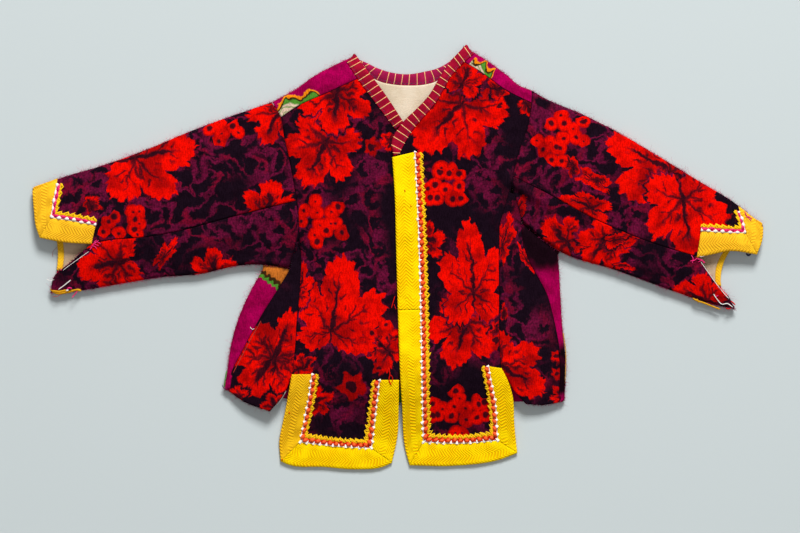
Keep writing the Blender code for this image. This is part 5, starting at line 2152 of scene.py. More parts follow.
class VineLeaf(Pattern):
    """A five-lobed toothed leaf with broken ribs, round the point where its ribs meet."""

    name = "vine_leaf"
    inputs = {
        "Vector": ORIGIN, "Centre": ORIGIN, "Turn": 0.0, "Size": 55.0, "Left": 1.0, "Right": 1.0,
        "Foot": 1.0, "Seed": 0.0, "Jitter": ORIGIN,
    }
    outputs = ("Mask", "Vein", "Reach", "Halo")

    # Angle from the tip in degrees, and the outline's distance as a share of the size
    OUTLINE = (
        (0, 0.98), (9, 0.93), (18, 0.86), (26, 0.76), (31, 0.62), (34, 0.55), (37, 0.64), (45, 0.82),
        (55, 0.90), (68, 0.86), (78, 0.74), (84, 0.58), (88, 0.52), (92, 0.60), (100, 0.70), (113, 0.75),
        (128, 0.72), (140, 0.63), (152, 0.52), (166, 0.38), (180, 0.22),
    )
    TEETH = 17.0

    def wire(self, given: Signals) -> Signals:
        """Links the leaf's outline, teeth and ribs.

        Args:
            given: the group's inputs by label.
        Returns:
            A signal for each output.
        """
        size, seed = given["Size"], given["Seed"]
        x, y, _ = (given["Vector"] - given["Centre"] + given["Jitter"]).rotated(given["Turn"]).split()
        # Each half may be narrower than the whole, and the part below the ribs shorter
        x = x / either(x > 0.0, given["Left"], given["Right"])
        y = y / either(y < 0.0, 1.0, given["Foot"])
        spot = joined(x, y)
        radius = spot.length()
        angle = act("ARCTAN2", abs(x), y) / math.pi
        outline = angle.curve([(degrees / 180, reach) for degrees, reach in self.OUTLINE])
        # The two halves' teeth are out of step, and each leans towards the tip
        tooth = fract(angle * self.TEETH + act("SIGN", x) * 0.31 + seed)
        tooth = act("MINIMUM", tooth / 0.66, (1.0 - tooth) / 0.34) * 0.10
        edge = (outline + tooth) * size
        inside = edge - radius
        reach = radius / act("MAXIMUM", edge, 1.0)
        # The rib nearest to this direction: 0, 55 or 113 degrees from the tip
        first = angle > 28 / 180
        rib = (angle > 84 / 180) * (58 / 180) + first * (55 / 180)
        off = (angle - rib) * math.pi
        along, across = radius * act("COSINE", off), abs(radius * sine(off))
        share = along / size
        # The rib to the tip is broad and dark and runs on to the stem, and the others are thinner
        tip = 1.0 - first
        main = (across - (share * -2.2 + (tip * 1.2 + 1.5))).step(2.0, -0.7)
        main = main * (tip * 0.10 + 0.90) * reach.step(0.80, 0.55)
        stem = (abs(x) - 1.7).step(1.1, -0.6) * (y < 0.0)
        # Side ribs leave the nearest rib at a slant, and only some of each show
        pitch = size * 0.22
        spread = abs(fract((across * -1.25 + along) / pitch) - 0.5) * pitch
        patchy = (spot + joined(seed, seed * 3.7) * 40.0).noise(0.085, 1.0)
        line = spread.step(3.4, 0.5) * patchy.step(0.45, 0.56) * reach.step(0.84, 0.62)
        vein = most((main, stem, line * share.step(0.06, 0.16) * 0.88))
        return {"Mask": inside.step(-0.9, 1.6), "Vein": vein, "Reach": reach, "Halo": inside.step(-5.2, -2.0)}


class GrapeCluster(Pattern):
    """A bunch of round berries, each a ring with a dark middle."""

    name = "grape_cluster"
    inputs = {"Vector": ORIGIN, "Centre": ORIGIN, "Turn": 0.0, "Wide": 25.0, "Tall": 20.0, "Seed": 0.0}
    outputs = ("Mask", "Core", "Rim")
    SPACING = 10.4

    def wire(self, given: Signals) -> Signals:
        """Links the berries and the bunch's outline.

        Args:
            given: the group's inputs by label.
        Returns:
            A signal for each output.
        """
        shift = joined(given["Seed"], given["Seed"] * 1.7)
        gap, chance, place = (given["Vector"] + shift).cells(1 / self.SPACING, 0.85)
        gap = gap * self.SPACING
        x, y, _ = (place - shift - given["Centre"]).rotated(given["Turn"]).split()
        x, y = x / given["Wide"], y / given["Tall"]
        inside = act("SQRT", x * x + y * y) < 1.0
        size, dark, _ = chance.split()
        return {
            "Mask": (gap - (size * 1.2 + 6.4)).step(0.4, -1.0) * inside,
            "Core": (gap - (dark * 2.4 + 0.6)).step(0.8, -0.8) * inside,
            # The berries' edges are dim, so that they part where they touch
            "Rim": gap.step(4.4, 6.6) * inside,
        }


class OpenBlossom(Pattern):
    """A small five-petalled flower with a dark eye."""

    name = "open_blossom"
    inputs = {"Vector": ORIGIN, "Centre": ORIGIN, "Turn": 0.0, "Size": 12.0, "Eye": 0.33}
    outputs = ("Mask", "Core")

    def wire(self, given: Signals) -> Signals:
        """Links the petals and the eye.

        Args:
            given: the group's inputs by label.
        Returns:
            A signal for each output.
        """
        local = given["Vector"] - given["Centre"]
        x, y, _ = local.split()
        radius = local.length()
        petals = act("COSINE", (act("ARCTAN2", y, x) + given["Turn"]) * 5.0) * 0.15 + 0.85
        inside, eye = (share * given["Size"] - radius for share in (petals, given["Eye"]))
        return {"Mask": inside.step(-0.6, 1.6), "Core": eye.step(-0.6, 0.7)}


class PlumScroll(Pattern):
    """The dim winding strokes and curls of the ground between the leaves."""

    name = "plum_scroll"
    inputs = {"Vector": ORIGIN, "Amount": 0.5}
    outputs = ("Mask", "Glow")

    def wire(self, given: Signals) -> Signals:
        """Links the strokes, the curls and the broad patches.

        Args:
            given: the group's inputs by label.
        Returns:
            A signal for each output.
        """
        spot = given["Vector"]
        fray = spot.drift(0.35, 2.0, 5.0)
        warped = spot + spot.drift(0.04, 2.0, 26.0) + fray
        stroke = abs(warped.noise(0.05, 1.0) - 0.5).step(0.10, 0.02)
        blot = warped.noise(0.085, 1.0).step(0.60, 0.72)
        frayed = spot + fray
        _, chance, place = frayed.cells(1 / 36.0, 0.9)
        local = frayed - place
        x, y, _ = local.split()
        radius = local.length()
        coil = fract(act("ARCTAN2", y, x) / FULL_TURN + radius / 13.0)
        curl = abs(coil - 0.5).step(0.32, 0.14) * radius.step(17.0, 10.0) * (chance.split()[0] > 0.62)
        reach = spot.noise(0.02, 1.0) + (given["Amount"] - 0.5)
        cover = most((stroke, blot, curl * 0.9)) * reach.step(0.34, 0.62)
        # The brushed face breaks the print's soft edges up
        mask = cover * (spot.noise(0.5).step(0.30, 0.70) * 0.55 + 0.5)
        return {"Mask": mask, "Glow": mask * warped.noise(0.06, 1.0).step(0.50, 0.68)}


class WoolNap(Pattern):
    """The brushed face of wool: fine fibres, soft clumps and worn places."""

    name = "wool_nap"
    inputs = {"Vector": ORIGIN}
    outputs = ("Tint", "Height")

    def wire(self, given: Signals) -> Signals:
        """Links fibres that run along two slants, and clumps.

        Args:
            given: the group's inputs by label.
        Returns:
            A signal for each output.
        """
        spot = given["Vector"]
        combed = spot.through("Mapping", {"Rotation": (0, 0, 0.5), "Scale": (1.7, 0.38, 1)})
        height = spot.noise(0.72, 3.0) * 0.45 + combed.noise(0.62, 1.0) * 0.4 + spot.noise(0.16) * 0.35
        return {"Tint": height.step(0.44, 0.76), "Height": height}


class Herringbone(Pattern):
    """Twill whose ribs change slant in even columns along a tape."""

    name = "herringbone"
    inputs = {"Vector": ORIGIN, "Column": 5.6, "Rib": 2.9}
    outputs = ("Tint", "Height")

    def wire(self, given: Signals) -> Signals:
        """Links the ribs, their cross threads and an uneven dye.

        Args:
            given: the group's inputs by label.
        Returns:
            A signal for each output.
        """
        spot = given["Vector"]
        x, y, _ = (spot + spot.drift(0.09, 1.0, 1.6)).split()
        wave = sine((y + act("PINGPONG", x, given["Column"])) / given["Rib"] * FULL_TURN)
        patch = spot.noise(0.055)
        # The ribs are worn flat in places
        wave = wave * patch.step(0.62, 0.40, 0.35, 1.0)
        height = wave * 0.5 + spot.noise(1.3, 1.0) * 0.7
        return {"Tint": (height * 0.55 + patch * 0.7).step(0.10, 0.90), "Height": height}


class CottonWeave(Pattern):
    """A fine plain weave with slubs and soft stains."""

    name = "cotton_weave"
    inputs = {"Vector": ORIGIN, "Pitch": 0.9}
    outputs = ("Tint", "Height")

    def wire(self, given: Signals) -> Signals:
        """Links the two sets of threads, slubs and stains.

        Args:
            given: the group's inputs by label.
        Returns:
            A signal for each output.
        """
        spot = given["Vector"]
        x, y, _ = spot.split()
        warp, weft = (abs(sine(way / given["Pitch"] * FULL_TURN)) for way in (x, y))
        slub = spot.through("Mapping", {"Scale": (0.25, 1.6, 1)}).noise(0.8)
        return {"Tint": spot.noise(0.05, 3.0).step(0.35, 0.68), "Height": slub * 0.8 + (warp + weft) * 0.3}


class BorderScroll(Pattern):
    """A scalloped border: an outline, a dark line, a filled leaf band and a pale curl."""

    name = "border_scroll"
    inputs = {"Vector": ORIGIN, "Centre": ORIGIN, "Turn": 0.0, "Size": 24.0}
    outputs = ("Outline", "Dark", "Leaf", "Curl")

    def wire(self, given: Signals) -> Signals:
        """Links the bands, which follow one scalloped line.

        Args:
            given: the group's inputs by label.
        Returns:
            A signal for each output.
        """
        spot = given["Vector"]
        turned = (spot - given["Centre"]).rotated(given["Turn"])
        x, y, _ = turned.split()
        share = x / given["Size"]
        lobes = abs(sine(share * 3.4 + 0.5)) * -6.0 + 8.0
        line = lobes + share * share * -6.0 + (spot.noise(0.16) - 0.5) * 7.0
        below = line - y
        fade = abs(share).step(1.06, 1.0) * below.step(27.0, 24.0)
        leaf = below.step(3.8, 5.0) * fade
        offset = turned - (-5.0, -7.0, 0.0) + spot.noise(0.1, 1.0, 1) * 6.0
        pale = (offset * (0.7, 1.0, 0.0)).length()
        swirl = abs(fract(pale / 4.6) - 0.5).step(0.16, 0.05) * pale.step(8.2, 7.2)
        return {
            "Outline": below.step(-0.4, 0.4) * fade, "Dark": below.step(2.0, 2.8) * fade, "Leaf": leaf,
            "Curl": pale.step(10.0, 8.4) * leaf * (1.0 - swirl * 0.75),
        }


class WavyEnd(Pattern):
    """The end of a strip: a printed wavy line, a dark band above it that is printed beside the line and painted shade
    past the field, and a printed warm field beyond.
    """

    name = "wavy_end"
    inputs = {"Vector": ORIGIN, "Centre": ORIGIN, "Turn": 0.0}
    outputs = ("Line", "Dark", "Field")

    def wire(self, given: Signals) -> Signals:
        """Links the bands, which follow one wavy line.

        Args:
            given: the group's inputs by label.
        Returns:
            A signal for each output.
        """
        local = given["Vector"] - given["Centre"]
        x, y, _ = local.rotated(given["Turn"]).split()
        level = y + (given["Vector"].noise(0.3) * 3.2 - 1.6 + sine(x * 1.25) * 0.9)
        near = local.length().step(34.0, 30.0)
        # The dark band runs from the line to the disc's edge: beside the line it is the print's dark, past the field it
        # is painted shade under the sleeve's edge
        bands = (abs(level).step(1.9, 1.1), level.step(0.2, 1.2), level.step(4.2, 6.0) * level.step(19.0, 13.0))
        return {label: band * near for label, band in zip(self.outputs, bands)}


def rgb(code: str) -> tuple[float, float, float, float]:
    """A linear colour from its usual six-figure code."""
    parts = [int(code[i:i + 2], 16) / 255 for i in (0, 2, 4)]
    return (*(c / 12.92 if c <= 0.04045 else ((c + 0.055) / 1.055) ** 2.4 for c in parts), 1.0)


@dataclass(frozen=True)
class Motif:
    """One printed motif, at a place in plan."""

    at: Point

    def given(self) -> dict[str, Value]:
        """What it gives its group."""
        rest = {key: value for key, value in vars(self).items() if key not in ("at", "turn", "joined")}
        return {"centre": (*self.at, 0), "turn": math.radians(self.turn), **rest}


@dataclass(frozen=True)
class Leaf(Motif):
    """A leaf: its size, its tip's turn from +Y, its halves' and foot's shares, and whether it has no edge."""

    size: float
    turn: float
    left: float = 1.0
    right: float = 1.0
    seed: float = 0.0
    joined: float = 0.0
    foot: float = 1.0


@dataclass(frozen=True)
class Grapes(Motif):
    """A bunch of berries: its half sizes and its turn."""

    wide: float
    tall: float
    turn: float = 0.0
    seed: float = 0.0


@dataclass(frozen=True)
class Blossom(Motif):
    """A small flower: its size, its turn and its eye's share."""

    size: float
    turn: float = 0.0
    eye: float = 0.33


@dataclass(frozen=True)
class Print:
    """What is printed on one cut."""

    leaves: tuple[Leaf, ...] = ()
    grapes: tuple[Grapes, ...] = ()
    blossoms: tuple[Blossom, ...] = ()


@dataclass(frozen=True)
class Finish:
    """What every finish shares."""

    name: str
    light: str = "FFFFFF"
    dark: str = "D0D0D0"
    roughness: float = 0.9
    sheen: float = 0.0
    sheen_roughness: float = 0.25
    sheen_tint: str = "D01058"
    specular: float = 0.02
    bump: float = 0.3

    def start(self, mapped: bool = True) -> tuple[Material, Signal]:
        """A new material, and the place in millimetres on the cloth's map or in the object.

        Args:
            mapped: whether places are on the cloth's map.
        Returns:
            The material and the place.
        """
        material = bpy.data.materials.new(self.name)
        material.use_nodes = True
        tree = material.node_tree
        spot = put(tree, "UVMap", {}, uv_map=CLOTH_MAP).outputs[0] if mapped else (
            put(tree, "TexCoord", {}).outputs["Object"]
        )
        return material, Signal(spot) * 1000.0

    def shades(self, tint: Value) -> Signal:
        """The finish's dark and light colour mixed."""
        return mix(tint, rgb(self.dark), rgb(self.light))

    def close(self, material: Material, colour: Signal, height: Signal) -> Material:
        """Links the colour and the relief to the shader, and sets its own values.

        Args:
            material: the material.
            colour: its colour.
            height: its relief.
        Returns:
            The same material.
        """
        tree = material.node_tree
        shader = tree.nodes["Principled BSDF"]
        tree.links.new(colour.socket, shader.inputs["Base Color"])
        shader.inputs["Roughness"].default_value = self.roughness
        shader.inputs["Specular IOR Level"].default_value = self.specular
        if self.sheen:
            shader.inputs["Sheen Weight"].default_value = self.sheen
            shader.inputs["Sheen Roughness"].default_value = self.sheen_roughness
            shader.inputs["Sheen Tint"].default_value = rgb(self.sheen_tint)
        relief = put(tree, "Bump", {"Strength": 1.0, "Distance": self.bump * MM, "Height": height})
        tree.links.new(relief.outputs[0], shader.inputs["Normal"])
        return material

    def napped(self, material: Material, spot: Signal, colour: Signal, worn: tuple[float, float, float]) -> Material:
        """Closes a wool, whose colour is dimmer between the fibres.

        Args:
            material: the material.
            spot: the place on the cloth.
            colour: its colour.
            worn: how much of each colour part is left between the fibres.
        Returns:
            The same material.
        """
        nap = WoolNap().place(spot)
        dim = mix(1.0, colour, (*worn, 1), "MULTIPLY")
        return self.close(material, mix(nap["Tint"], dim, colour), nap["Height"])


@dataclass(frozen=True)
class PrintedWool(Finish):
    """Brushed wool printed with leaves and berries on a dark ground."""

    sheen: float = 0.35
    motifs: Print = Print()
    ground_seed: Point = (0.0, 0.0)
    plum_amount: float = 0.5
    wraps: bool = False
    ground: str = "190B17"
    plum: str = "701038"
    deep: str = "94040C"
    light: str = "F40A00"
    dark: str = "A80606"

    def build(self) -> Material:
        """Makes the material.

        Returns:
            The material.
        """
        material, spot = self.start()
        jitter = spot.drift(0.11, 1.0, 7.0) + spot.drift(0.55, 2.0, 2.2)
        leaf, masks, veins, reaches, cores, rims = VineLeaf(), [], [], [], [], []
        for item in self.motifs.leaves:
            made = leaf.place(spot, jitter=jitter, **item.given())
            # A dark edge parts each leaf from those below it
            clear = made["Halo"] * (item.joined - 1.0) + 1.0
            masks, veins = ([most(part) * clear] if part else [] for part in (masks, veins))
            masks.append(made["Mask"])
            veins.append(made["Vein"] * made["Mask"])
            reaches.append(made["Reach"] * made["Mask"])
        if self.wraps:
            made, shown = self.scattered(spot, jitter)
            masks.append(shown)
            veins.append(made["Vein"] * shown)
            reaches.append(made["Reach"] * shown)
        for item in self.motifs.grapes:
            made = GrapeCluster().place(spot + jitter * 0.35, **item.given())
            masks.append(made["Mask"])
            reaches.append(made["Mask"] * 0.9)
            cores.append(made["Core"])
            rims.append(made["Rim"])
        for item in self.motifs.blossoms:
            made = OpenBlossom().place(spot + jitter, **item.given())
            masks.append(made["Mask"])
            cores.append(made["Core"])
        shifted = spot + (*self.ground_seed, 0)
        scroll = PlumScroll().place(shifted, amount=self.plum_amount)
        colour = mix(scroll["Mask"], rgb(self.ground), rgb(self.plum))
        colour = mix(scroll["Glow"] * 0.45, colour, rgb(self.deep))
        bright = (most(reaches) * 0.30 + shifted.noise(0.045)).step(0.48, 0.84) * (most(rims) * -0.9 + 1.0)
        colour = mix(most(masks), colour, self.shades(bright))
        for part, depth in ((veins, 0.95), (cores, 0.93)):
            colour = mix(most(part) * depth, colour, rgb(self.ground))
        return self.napped(material, spot, colour, (0.56, 0.54, 0.56))

    def scattered(self, spot: Signal, jitter: Signal) -> tuple[Signals, Signal]:
        """More leaves, and where they show: on the layer that lies on the surface.

        Args:
            spot: the place on the cloth.
            jitter: the outlines' unevenness.
        Returns:
            The leaves' outputs by label, and where they show.
        """
        _, _, z = Signal(put(spot.socket.id_data, "TexCoord", {}).outputs["Object"]).split()
        _, chance, place = spot.cells(1 / 88.0, 0.45)
        turn = chance.split()[0] * FULL_TURN
        made = VineLeaf().place(spot, centre=place, turn=turn, size=50.0, seed=0.4, jitter=jitter)
        return made, made["Mask"] * z.step(0.0034, 0.0022)


@dataclass(frozen=True)
class MagentaWool(Finish):
    """Plain magenta wool with a printed border scroll here and there, and spots of painted shade."""

    sheen: float = 0.35
    bump: float = 0.5
    light: str = "AC0050"
    dark: str = "8C003C"
    outline: str = "F08A10"
    line: str = "3A2410"
    # The colour of the spots of painted shade
    deep: str = "17060F"
    leaf: str = "4E8A2A"
    pale: str = "DDBFA6"
    warm: str = "C06A24"
    scrolls: tuple[tuple[float, float, float, float], ...] = ()
    ends: tuple[tuple[float, float, float], ...] = ()
    pockets: tuple[tuple[float, float, float], ...] = ()

    def build(self) -> Material:
        """Makes the material.

        Returns:
            The material.
        """
        material, spot = self.start()
        clumps = spot.noise(0.06)
        colour = self.shades(clumps.step(0.3, 0.7))
        places: list[dict[str, Value]] = [
            {"centre": (x, y, 0), "turn": math.radians(turn), "size": size} for x, y, turn, size in self.scrolls
        ]
        _, chance, place = spot.cells(1 / 96.0, 0.5)
        away = spot.split()[1] < -300.0
        places.append({"centre": place, "turn": chance.split()[0] * FULL_TURN, "size": 26.0})
        for number, given in enumerate(places, 1):
            bands = BorderScroll().place(spot, **given)
            for label, code in zip(bands, (self.outline, self.line, self.leaf, self.pale)):
                factor = bands[label] * away if number == len(places) else bands[label]
                colour = mix(factor, colour, rgb(code))
        # The strip ends' wavy line and warm field are print; their dark band past the field is painted shade
        for x, y, turn in self.ends:
            bands = WavyEnd().place(spot, centre=(x, y, 0), turn=math.radians(turn))
            for label, code in (("Dark", self.line), ("Field", self.warm), ("Line", self.leaf)):
                colour = mix(bands[label], colour, rgb(code))
        # Dark spots of painted shade, in the armpits' hollows and along the left side strip
        for x, y, reach in self.pockets:
            gap = clumps * 12.0 + (spot - (x, y, 0)).length()
            colour = mix(gap.step(reach + 14.0, reach), colour, rgb(self.deep))
        return self.napped(material, spot, colour, (0.62, 0.62, 0.62))


@dataclass(frozen=True)
class TapeWeave(Finish):
    """Yellow herringbone tape."""

    light: str = "FFE204"
    dark: str = "F2AE02"
    bump: float = 0.34

    def build(self) -> Material:
        """Makes the material.

        Returns:
            The material.
        """
        material, spot = self.start()
        weave = Herringbone().place(spot)
        return self.close(material, self.shades(weave["Tint"]), weave["Height"])


@dataclass(frozen=True)
class PlainWeave(Finish):
    """A plain cotton: binding or lining."""

    bump: float = 0.15

    def build(self) -> Material:
        """Makes the material.

        Returns:
            The material.
        """
        material, spot = self.start()
        weave = CottonWeave().place(spot)
        tint = weave["Height"].step(0.5, 1.2) * 0.35 + weave["Tint"] * 0.65
        return self.close(material, self.shades(tint), weave["Height"])


@dataclass(frozen=True)
class Yarn(Finish):
    """Twisted thread in one colour, a little uneven along its length."""

    roughness: float = 0.75
    bump: float = 0.1

    def build(self) -> Material:
        """Makes the material.

        Returns:
            The material.
        """
        material, spot = self.start(mapped=False)
        twist = spot.noise(1.6, flat=False)
        return self.close(material, self.shades(twist.step(0.35, 0.65)), twist)


FRONT_RIGHT_PRINT = Print(
    leaves=(
        Leaf((-63, 98.9), 41.1, 205, 0.9, 1, 0.8),
        Leaf((-53.1, 143.6), 36.8, 185, 1, 1, 0.5),
        Leaf((-5.7, 101.6), 11.4, 190, 1, 1, 0.1),
        Leaf((-8.3, -84), 26.3, -38, 0.8, 0.8, 0.3),
        Leaf((-73.1, -127.8), 17.5, 70, 0.9, 0.9, 0.6),
        Leaf((-85.4, -98.1), 17.5, 55, 0.6, 0.6, 0.9),
        Leaf((-57.5, -66), 65.5, 8, 0.6, 0.8, 0.2, 0, 0.5),
        Leaf((-87.1, -31.5), 26.3, 12, 0.5, 0.5, 0.15),
    ),
    grapes=(
        Grapes((-64.3, 31.5), 23.6, 21.0, 0, 3),
        Grapes((-11.8, -70), 14.0, 10.5, 0, 7),
    ),
    blossoms=(
        Blossom((-39.8, -113.8), 14.0, 20, 0.36),
        Blossom((-22.3, 95.4), 8.3, 0, 0.38),
        Blossom((-16.2, -97.2), 7.9, 0, 0.3),
    ),
)
FRONT_LEFT_PRINT = Print(
    leaves=(
        Leaf((60.8, -58.7), 40.3, 201, 0.85, 0.95, 0.55),
        Leaf((66.5, -33), 63, -4, 0.54, 0.52, 0.25, 0, 0.8),
        Leaf((56.5, 133.1), 54.3, 224, 0.9, 1, 0.7),
        Leaf((57.3, 152.3), 21.0, 20, 1, 1, 0.35),
        Leaf((87.1, 147.1), 12.3, 70, 1, 1, 0.65),
        Leaf((113.4, 133.1), 11.4, 150, 1, 1, 0.05),
        Leaf((23.2, 12.3), 19.3, 75, 1, 1, 0.45),
        Leaf((86.2, -64.8), 10.5, 12, 0.6, 0.6, 0.9),
    ),
    grapes=(
        Grapes((42.5, 59.5), 21.0, 23.6, 0, 11),
        Grapes((53, -134.8), 27.1, 21.0, 0, 19),
    ),
    blossoms=(
        Blossom((89.7, 131.3), 8.8, 0, 0.3),
        Blossom((84.9, -74.4), 8.3, 15, 0.36),
    ),
)
GORE_RIGHT_PRINT = Print(
    leaves=(
        Leaf((-109.9, -88.4), 41.1, 215, 1, 1, 0.3),
        Leaf((-106, -90), 43.8, 18, 0.62, 0.9, 0.7, 1),
        Leaf((-139.6, -124.3), 12.3, -60, 1, 1, 0.2),
        Leaf((-107.2, -133.1), 14.0, -20, 1, 1, 0.5),
    ),
)
GORE_LEFT_PRINT = Print(
    leaves=(
        Leaf((89.7, -96.3), 43.8, 120, 0.85, 0.85, 0.4),
        Leaf((92.4, 8.8), 29.8, 12, 0.32, 0.32, 0.1),
        Leaf((115.1, -5.3), 21.0, -32, 0.25, 0.25, 0.5),
        Leaf((93.2, -50.8), 10.5, 0, 0.4, 0.4, 0.6),
        Leaf((143.1, -124.3), 10.5, -30, 1, 1, 0.2),
    ),
    blossoms=(
        Blossom((140.1, -88), 7.0, 0, 0.36),
        Blossom((139.2, -102.9), 7.0, 30, 0.36),
    ),
)
UPPER_RIGHT_PRINT = Print(
    leaves=(
        Leaf((-230.7, 85.8), 53.4, 79, 0.9, 0.9, 0.35),
        Leaf((-103.7, 126.1), 30.6, 208, 0.9, 1, 0.15),
        Leaf((-113.4, 37.6), 28.0, 8, 1, 1, 0.75),
        Leaf((-167.7, 17.5), 19.3, 96, 0.35, 0.35, 0.55),
        Leaf((-192.2, 14), 21.0, 80, 0.3, 0.3, 0.25),
        Leaf((-267.5, 43.8), 9.6, -20, 1, 1, 0.6),
    ),
    grapes=(
        Grapes((-151, 108.6), 14.9, 11.4, 0, 5),
        Grapes((-239.4, 27.1), 23.6, 13.1, -8, 9),
    ),
)
UNDER_RIGHT_PRINT = Print(
    leaves=(
        Leaf((-244.7, -5.3), 35.0, -102, 1, 1, 0.5),
        Leaf((-161.5, -15.8), 22.8, 2, 1, 1, 0.9),
        Leaf((-205.3, -1.8), 21.0, 35, 0.35, 0.35, 0.2),
    ),
)
UPPER_LEFT_PRINT = Print(
    leaves=(
        Leaf((240, 74), 62.0, -61, 0.75, 0.62, 0.45),
        Leaf((249.5, 49), 50.5, 172, 0.9, 0.8, 0.6),
        Leaf((172, 66.5), 29.8, -66, 0.3, 0.3, 0.1),
        Leaf((152.8, 77), 14.0, -20, 0.5, 0.5, 0.8),
        Leaf((170.3, 42), 29.8, -72, 0.45, 0.45, 0.3),
    ),
    grapes=(
        Grapes((143.1, 105.1), 21.0, 26.3, 18, 15),
    ),
)
UNDER_LEFT_PRINT = Print(
    leaves=(
        Leaf((147.5, 11.4), 28.0, -40, 0.9, 0.9, 0.3),
        Leaf((183.4, 14), 29.8, 222, 0.9, 0.9, 0.55),
        Leaf((193, 14), 22.8, 74, 0.4, 0.4, 0.15),
        Leaf((196.5, -9.6), 12.3, 100, 0.3, 0.3, 0.7),
        Leaf((270.1, -39.4), 29.8, -68, 0.9, 0.9, 0.85),
        Leaf((103.7, 36.8), 17.5, 25, 0.5, 0.5, 0.4),
    ),
)

MAGENTA_SCROLLS = ((-93, 136, -24, 24), (76, 166, 40, 11))
# A printed wavy end on the right side strip, whose dark band also paints the shade under the sleeve's edge
MAGENTA_ENDS = ((-113.5, -21.5, 35),)
# Spots of painted shade in the armpits' hollows and along the left side strip: x and y on the cloth's map, and reach,
# in millimetres
MAGENTA_PAINTED_SHADE = ((128, 14, 24), (103, -560, 20), (-98, -580, 20), (147, -84, 8), (147, -108, 16))

# Each yarn's light and dark colour
YARNS = {
    "white_yarn": ("FFFDF8", "E4DCD4"), "coral_yarn": ("FF7038", "F0481E"), "brick_yarn": ("EE3016", "C41A08"),
    "gold_yarn": ("FFD21C", "E0A812"), "pink_yarn": ("F03A80", "D0105A"), "peach_yarn": ("FFD69A", "F2AE66"),
    "slate_thread": ("4A4A66", "2C2C44"), "red_yarn": ("E81A10", "B80E08"), "rust_thread": ("C8483C", "A0302C"),
    "amber_yarn": ("E8A81C", "B87C10"), "green_thread": ("5C9A3C", "3C6C28"), "straw_thread": ("D8A45C", "A8702C"),
    "seam_shadow": ("1C0A16", "100610"), "magenta_fibre": ("D84A84", "A01A54"),
}
TAPES = {
    "yellow_tape": ("FFE204", "F2AE02"), "ochre_tape": ("FFCB1A", "E0A010"), "amber_tape": ("FFC826", "E8A41C"),
}
# beige_cotton is a darker copy of cream_cotton: painted shade for the lining inside the open cuffs
COTTONS = {
    "maroon_cotton": ("B81434", "860A26"), "rose_cotton": ("BE2254", "8C1440"), "cream_cotton": ("E6D6BE", "D2BFA2"),
    "beige_cotton": ("D4BB9F", "BC9F80"),
}
# Each printed cut's motifs, where its ground starts, its share of plum, and whether it turns to the back
PRINTS = {
    "front_right": (FRONT_RIGHT_PRINT, (13, 40), 0.50, False),
    "front_left": (FRONT_LEFT_PRINT, (310, 95), 0.46, False),
    "gore_right": (GORE_RIGHT_PRINT, (150, 210), 0.36, False),
    "gore_left": (GORE_LEFT_PRINT, (77, 300), 0.50, False),
    "upper_right": (UPPER_RIGHT_PRINT, (400, 20), 0.62, True),
    "under_right": (UNDER_RIGHT_PRINT, (500, 130), 0.60, True),
    "upper_left": (UPPER_LEFT_PRINT, (600, 250), 0.56, True),
    "under_left": (UNDER_LEFT_PRINT, (700, 60), 0.66, True),
}


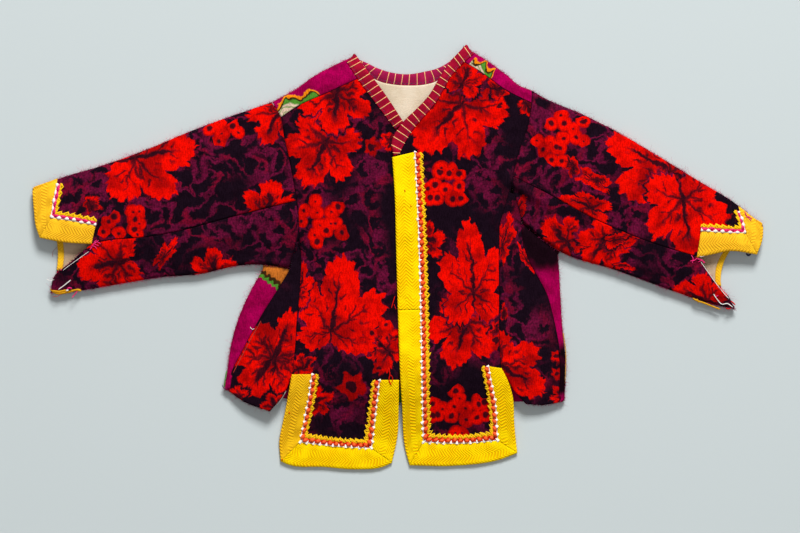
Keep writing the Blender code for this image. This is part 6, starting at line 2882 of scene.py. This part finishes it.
@dataclass
class Studio:
    """The pale floor, the soft lights and the camera."""

    floor_level: float = -0.0006
    floor_reach: float = 3.0
    floor_colour: tuple[float, float, float, float] = (0.532, 0.585, 0.587, 1)
    room_colour: tuple[float, float, float, float] = (0.96, 0.98, 1.0, 1)
    room_light: float = 0.24
    lens: float = 200.0
    sensor: float = 36.0
    frame_width: float = 0.7004
    frame_middle: Point = (0.00219, -0.00919)

    def build(self) -> None:
        """Builds the floor, the lights, the world and the camera."""
        bm = bmesh.new()
        bmesh.ops.create_grid(bm, x_segments=2, y_segments=2, size=self.floor_reach)
        bmesh.ops.translate(bm, verts=bm.verts, vec=(0, 0, self.floor_level))
        material = bpy.data.materials.new("pale_floor")
        material.use_nodes = True
        shader = material.node_tree.nodes["Principled BSDF"]
        shader.inputs["Base Color"].default_value = self.floor_colour
        shader.inputs["Roughness"].default_value = 0.6
        piece_of("floor", bm, [material])
        self.light("window", (0.7, 4.0, 3.4), 1.7, 350.0)
        self.light("overhead", (0.1, -0.6, 3.2), 2.4, 17.0)
        world = bpy.data.worlds.new("room")
        world.use_nodes = True
        room = world.node_tree.nodes["Background"].inputs
        room["Color"].default_value, room["Strength"].default_value = self.room_colour, self.room_light
        bpy.context.scene.world = world
        bpy.context.scene.view_settings.view_transform = "Standard"
        data = bpy.data.cameras.new("camera")
        data.lens, data.sensor_width, data.clip_end = self.lens, self.sensor, 20.0
        camera = bpy.data.objects.new("camera", data)
        camera.location = (*self.frame_middle, self.frame_width * self.lens / self.sensor + 0.01)
        bpy.context.collection.objects.link(camera)
        bpy.context.scene.camera = camera

    def light(self, name: str, spot: tuple[float, float, float], size: float, power: float) -> None:
        """A soft square light that faces the jacket.

        Args:
            name: the light's name.
            spot: where it stands, in metres.
            size: its side in metres.
            power: its power in watts.
        """
        data = bpy.data.lights.new(name, "AREA")
        data.size, data.energy = size, power
        lamp = bpy.data.objects.new(name, data)
        lamp.location = spot
        lamp.rotation_euler = (-Vector(spot)).to_track_quat("-Z", "Y").to_euler()
        bpy.context.collection.objects.link(lamp)


def dyed(kind: type[Finish], table: dict[str, tuple[str, str]]) -> dict[str, Material]:
    """The materials of one kind, by name."""
    return {name: kind(name, light=light, dark=dark).build() for name, (light, dark) in table.items()}


def main() -> None:
    """Builds the jacket and its setting."""
    logging.basicConfig(level=logging.INFO, format="%(message)s")
    yarns, tapes, cottons = dyed(Yarn, YARNS), dyed(TapeWeave, TAPES), dyed(PlainWeave, COTTONS)
    magenta = MagentaWool(
        "magenta_wool", scrolls=MAGENTA_SCROLLS, ends=MAGENTA_ENDS, pockets=MAGENTA_PAINTED_SHADE,
    ).build()
    white, coral, brick, gold, pink, peach, slate, *_ = yarns.values()
    # brick is a darker copy of coral, painted shade on the coral knots' second halves; it also goes to two of the long
    # threads below the knots
    braids = Braids().build((white, coral, brick, gold), (white, pink, pink, gold))
    Back().build(magenta)
    cloths = {"back": magenta}
    for name, (motifs, seed, plum, wraps) in PRINTS.items():
        cloths[name] = PrintedWool(
            f"wool_{name}", motifs=motifs, ground_seed=seed, plum_amount=plum, wraps=wraps,
        ).build()
    Fronts().build(cloths["front_right"], cloths["front_left"], braids["front_right"], braids["front_left"])
    SideGores().build(cloths["gore_right"], cloths["gore_left"])
    for side, half in (("right", RIGHT), ("left", LEFT)):
        Sleeve(side=side, half=half).build(cloths[f"upper_{side}"], cloths[f"under_{side}"], braids[f"sleeve_{side}"])
    Tapes().build(*tapes.values())
    Neckline().build(*list(cottons.values())[:3], peach, slate)
    # The cuffs' lining takes the darker beige: painted shade inside the open cuffs
    CuffInsides().build(tapes["amber_tape"], cottons["beige_cotton"])
    Sewing().build(yarns)
    Nap().build(cloths, yarns["magenta_fibre"])
    Studio().build()


if __name__ == "__main__":
    main()
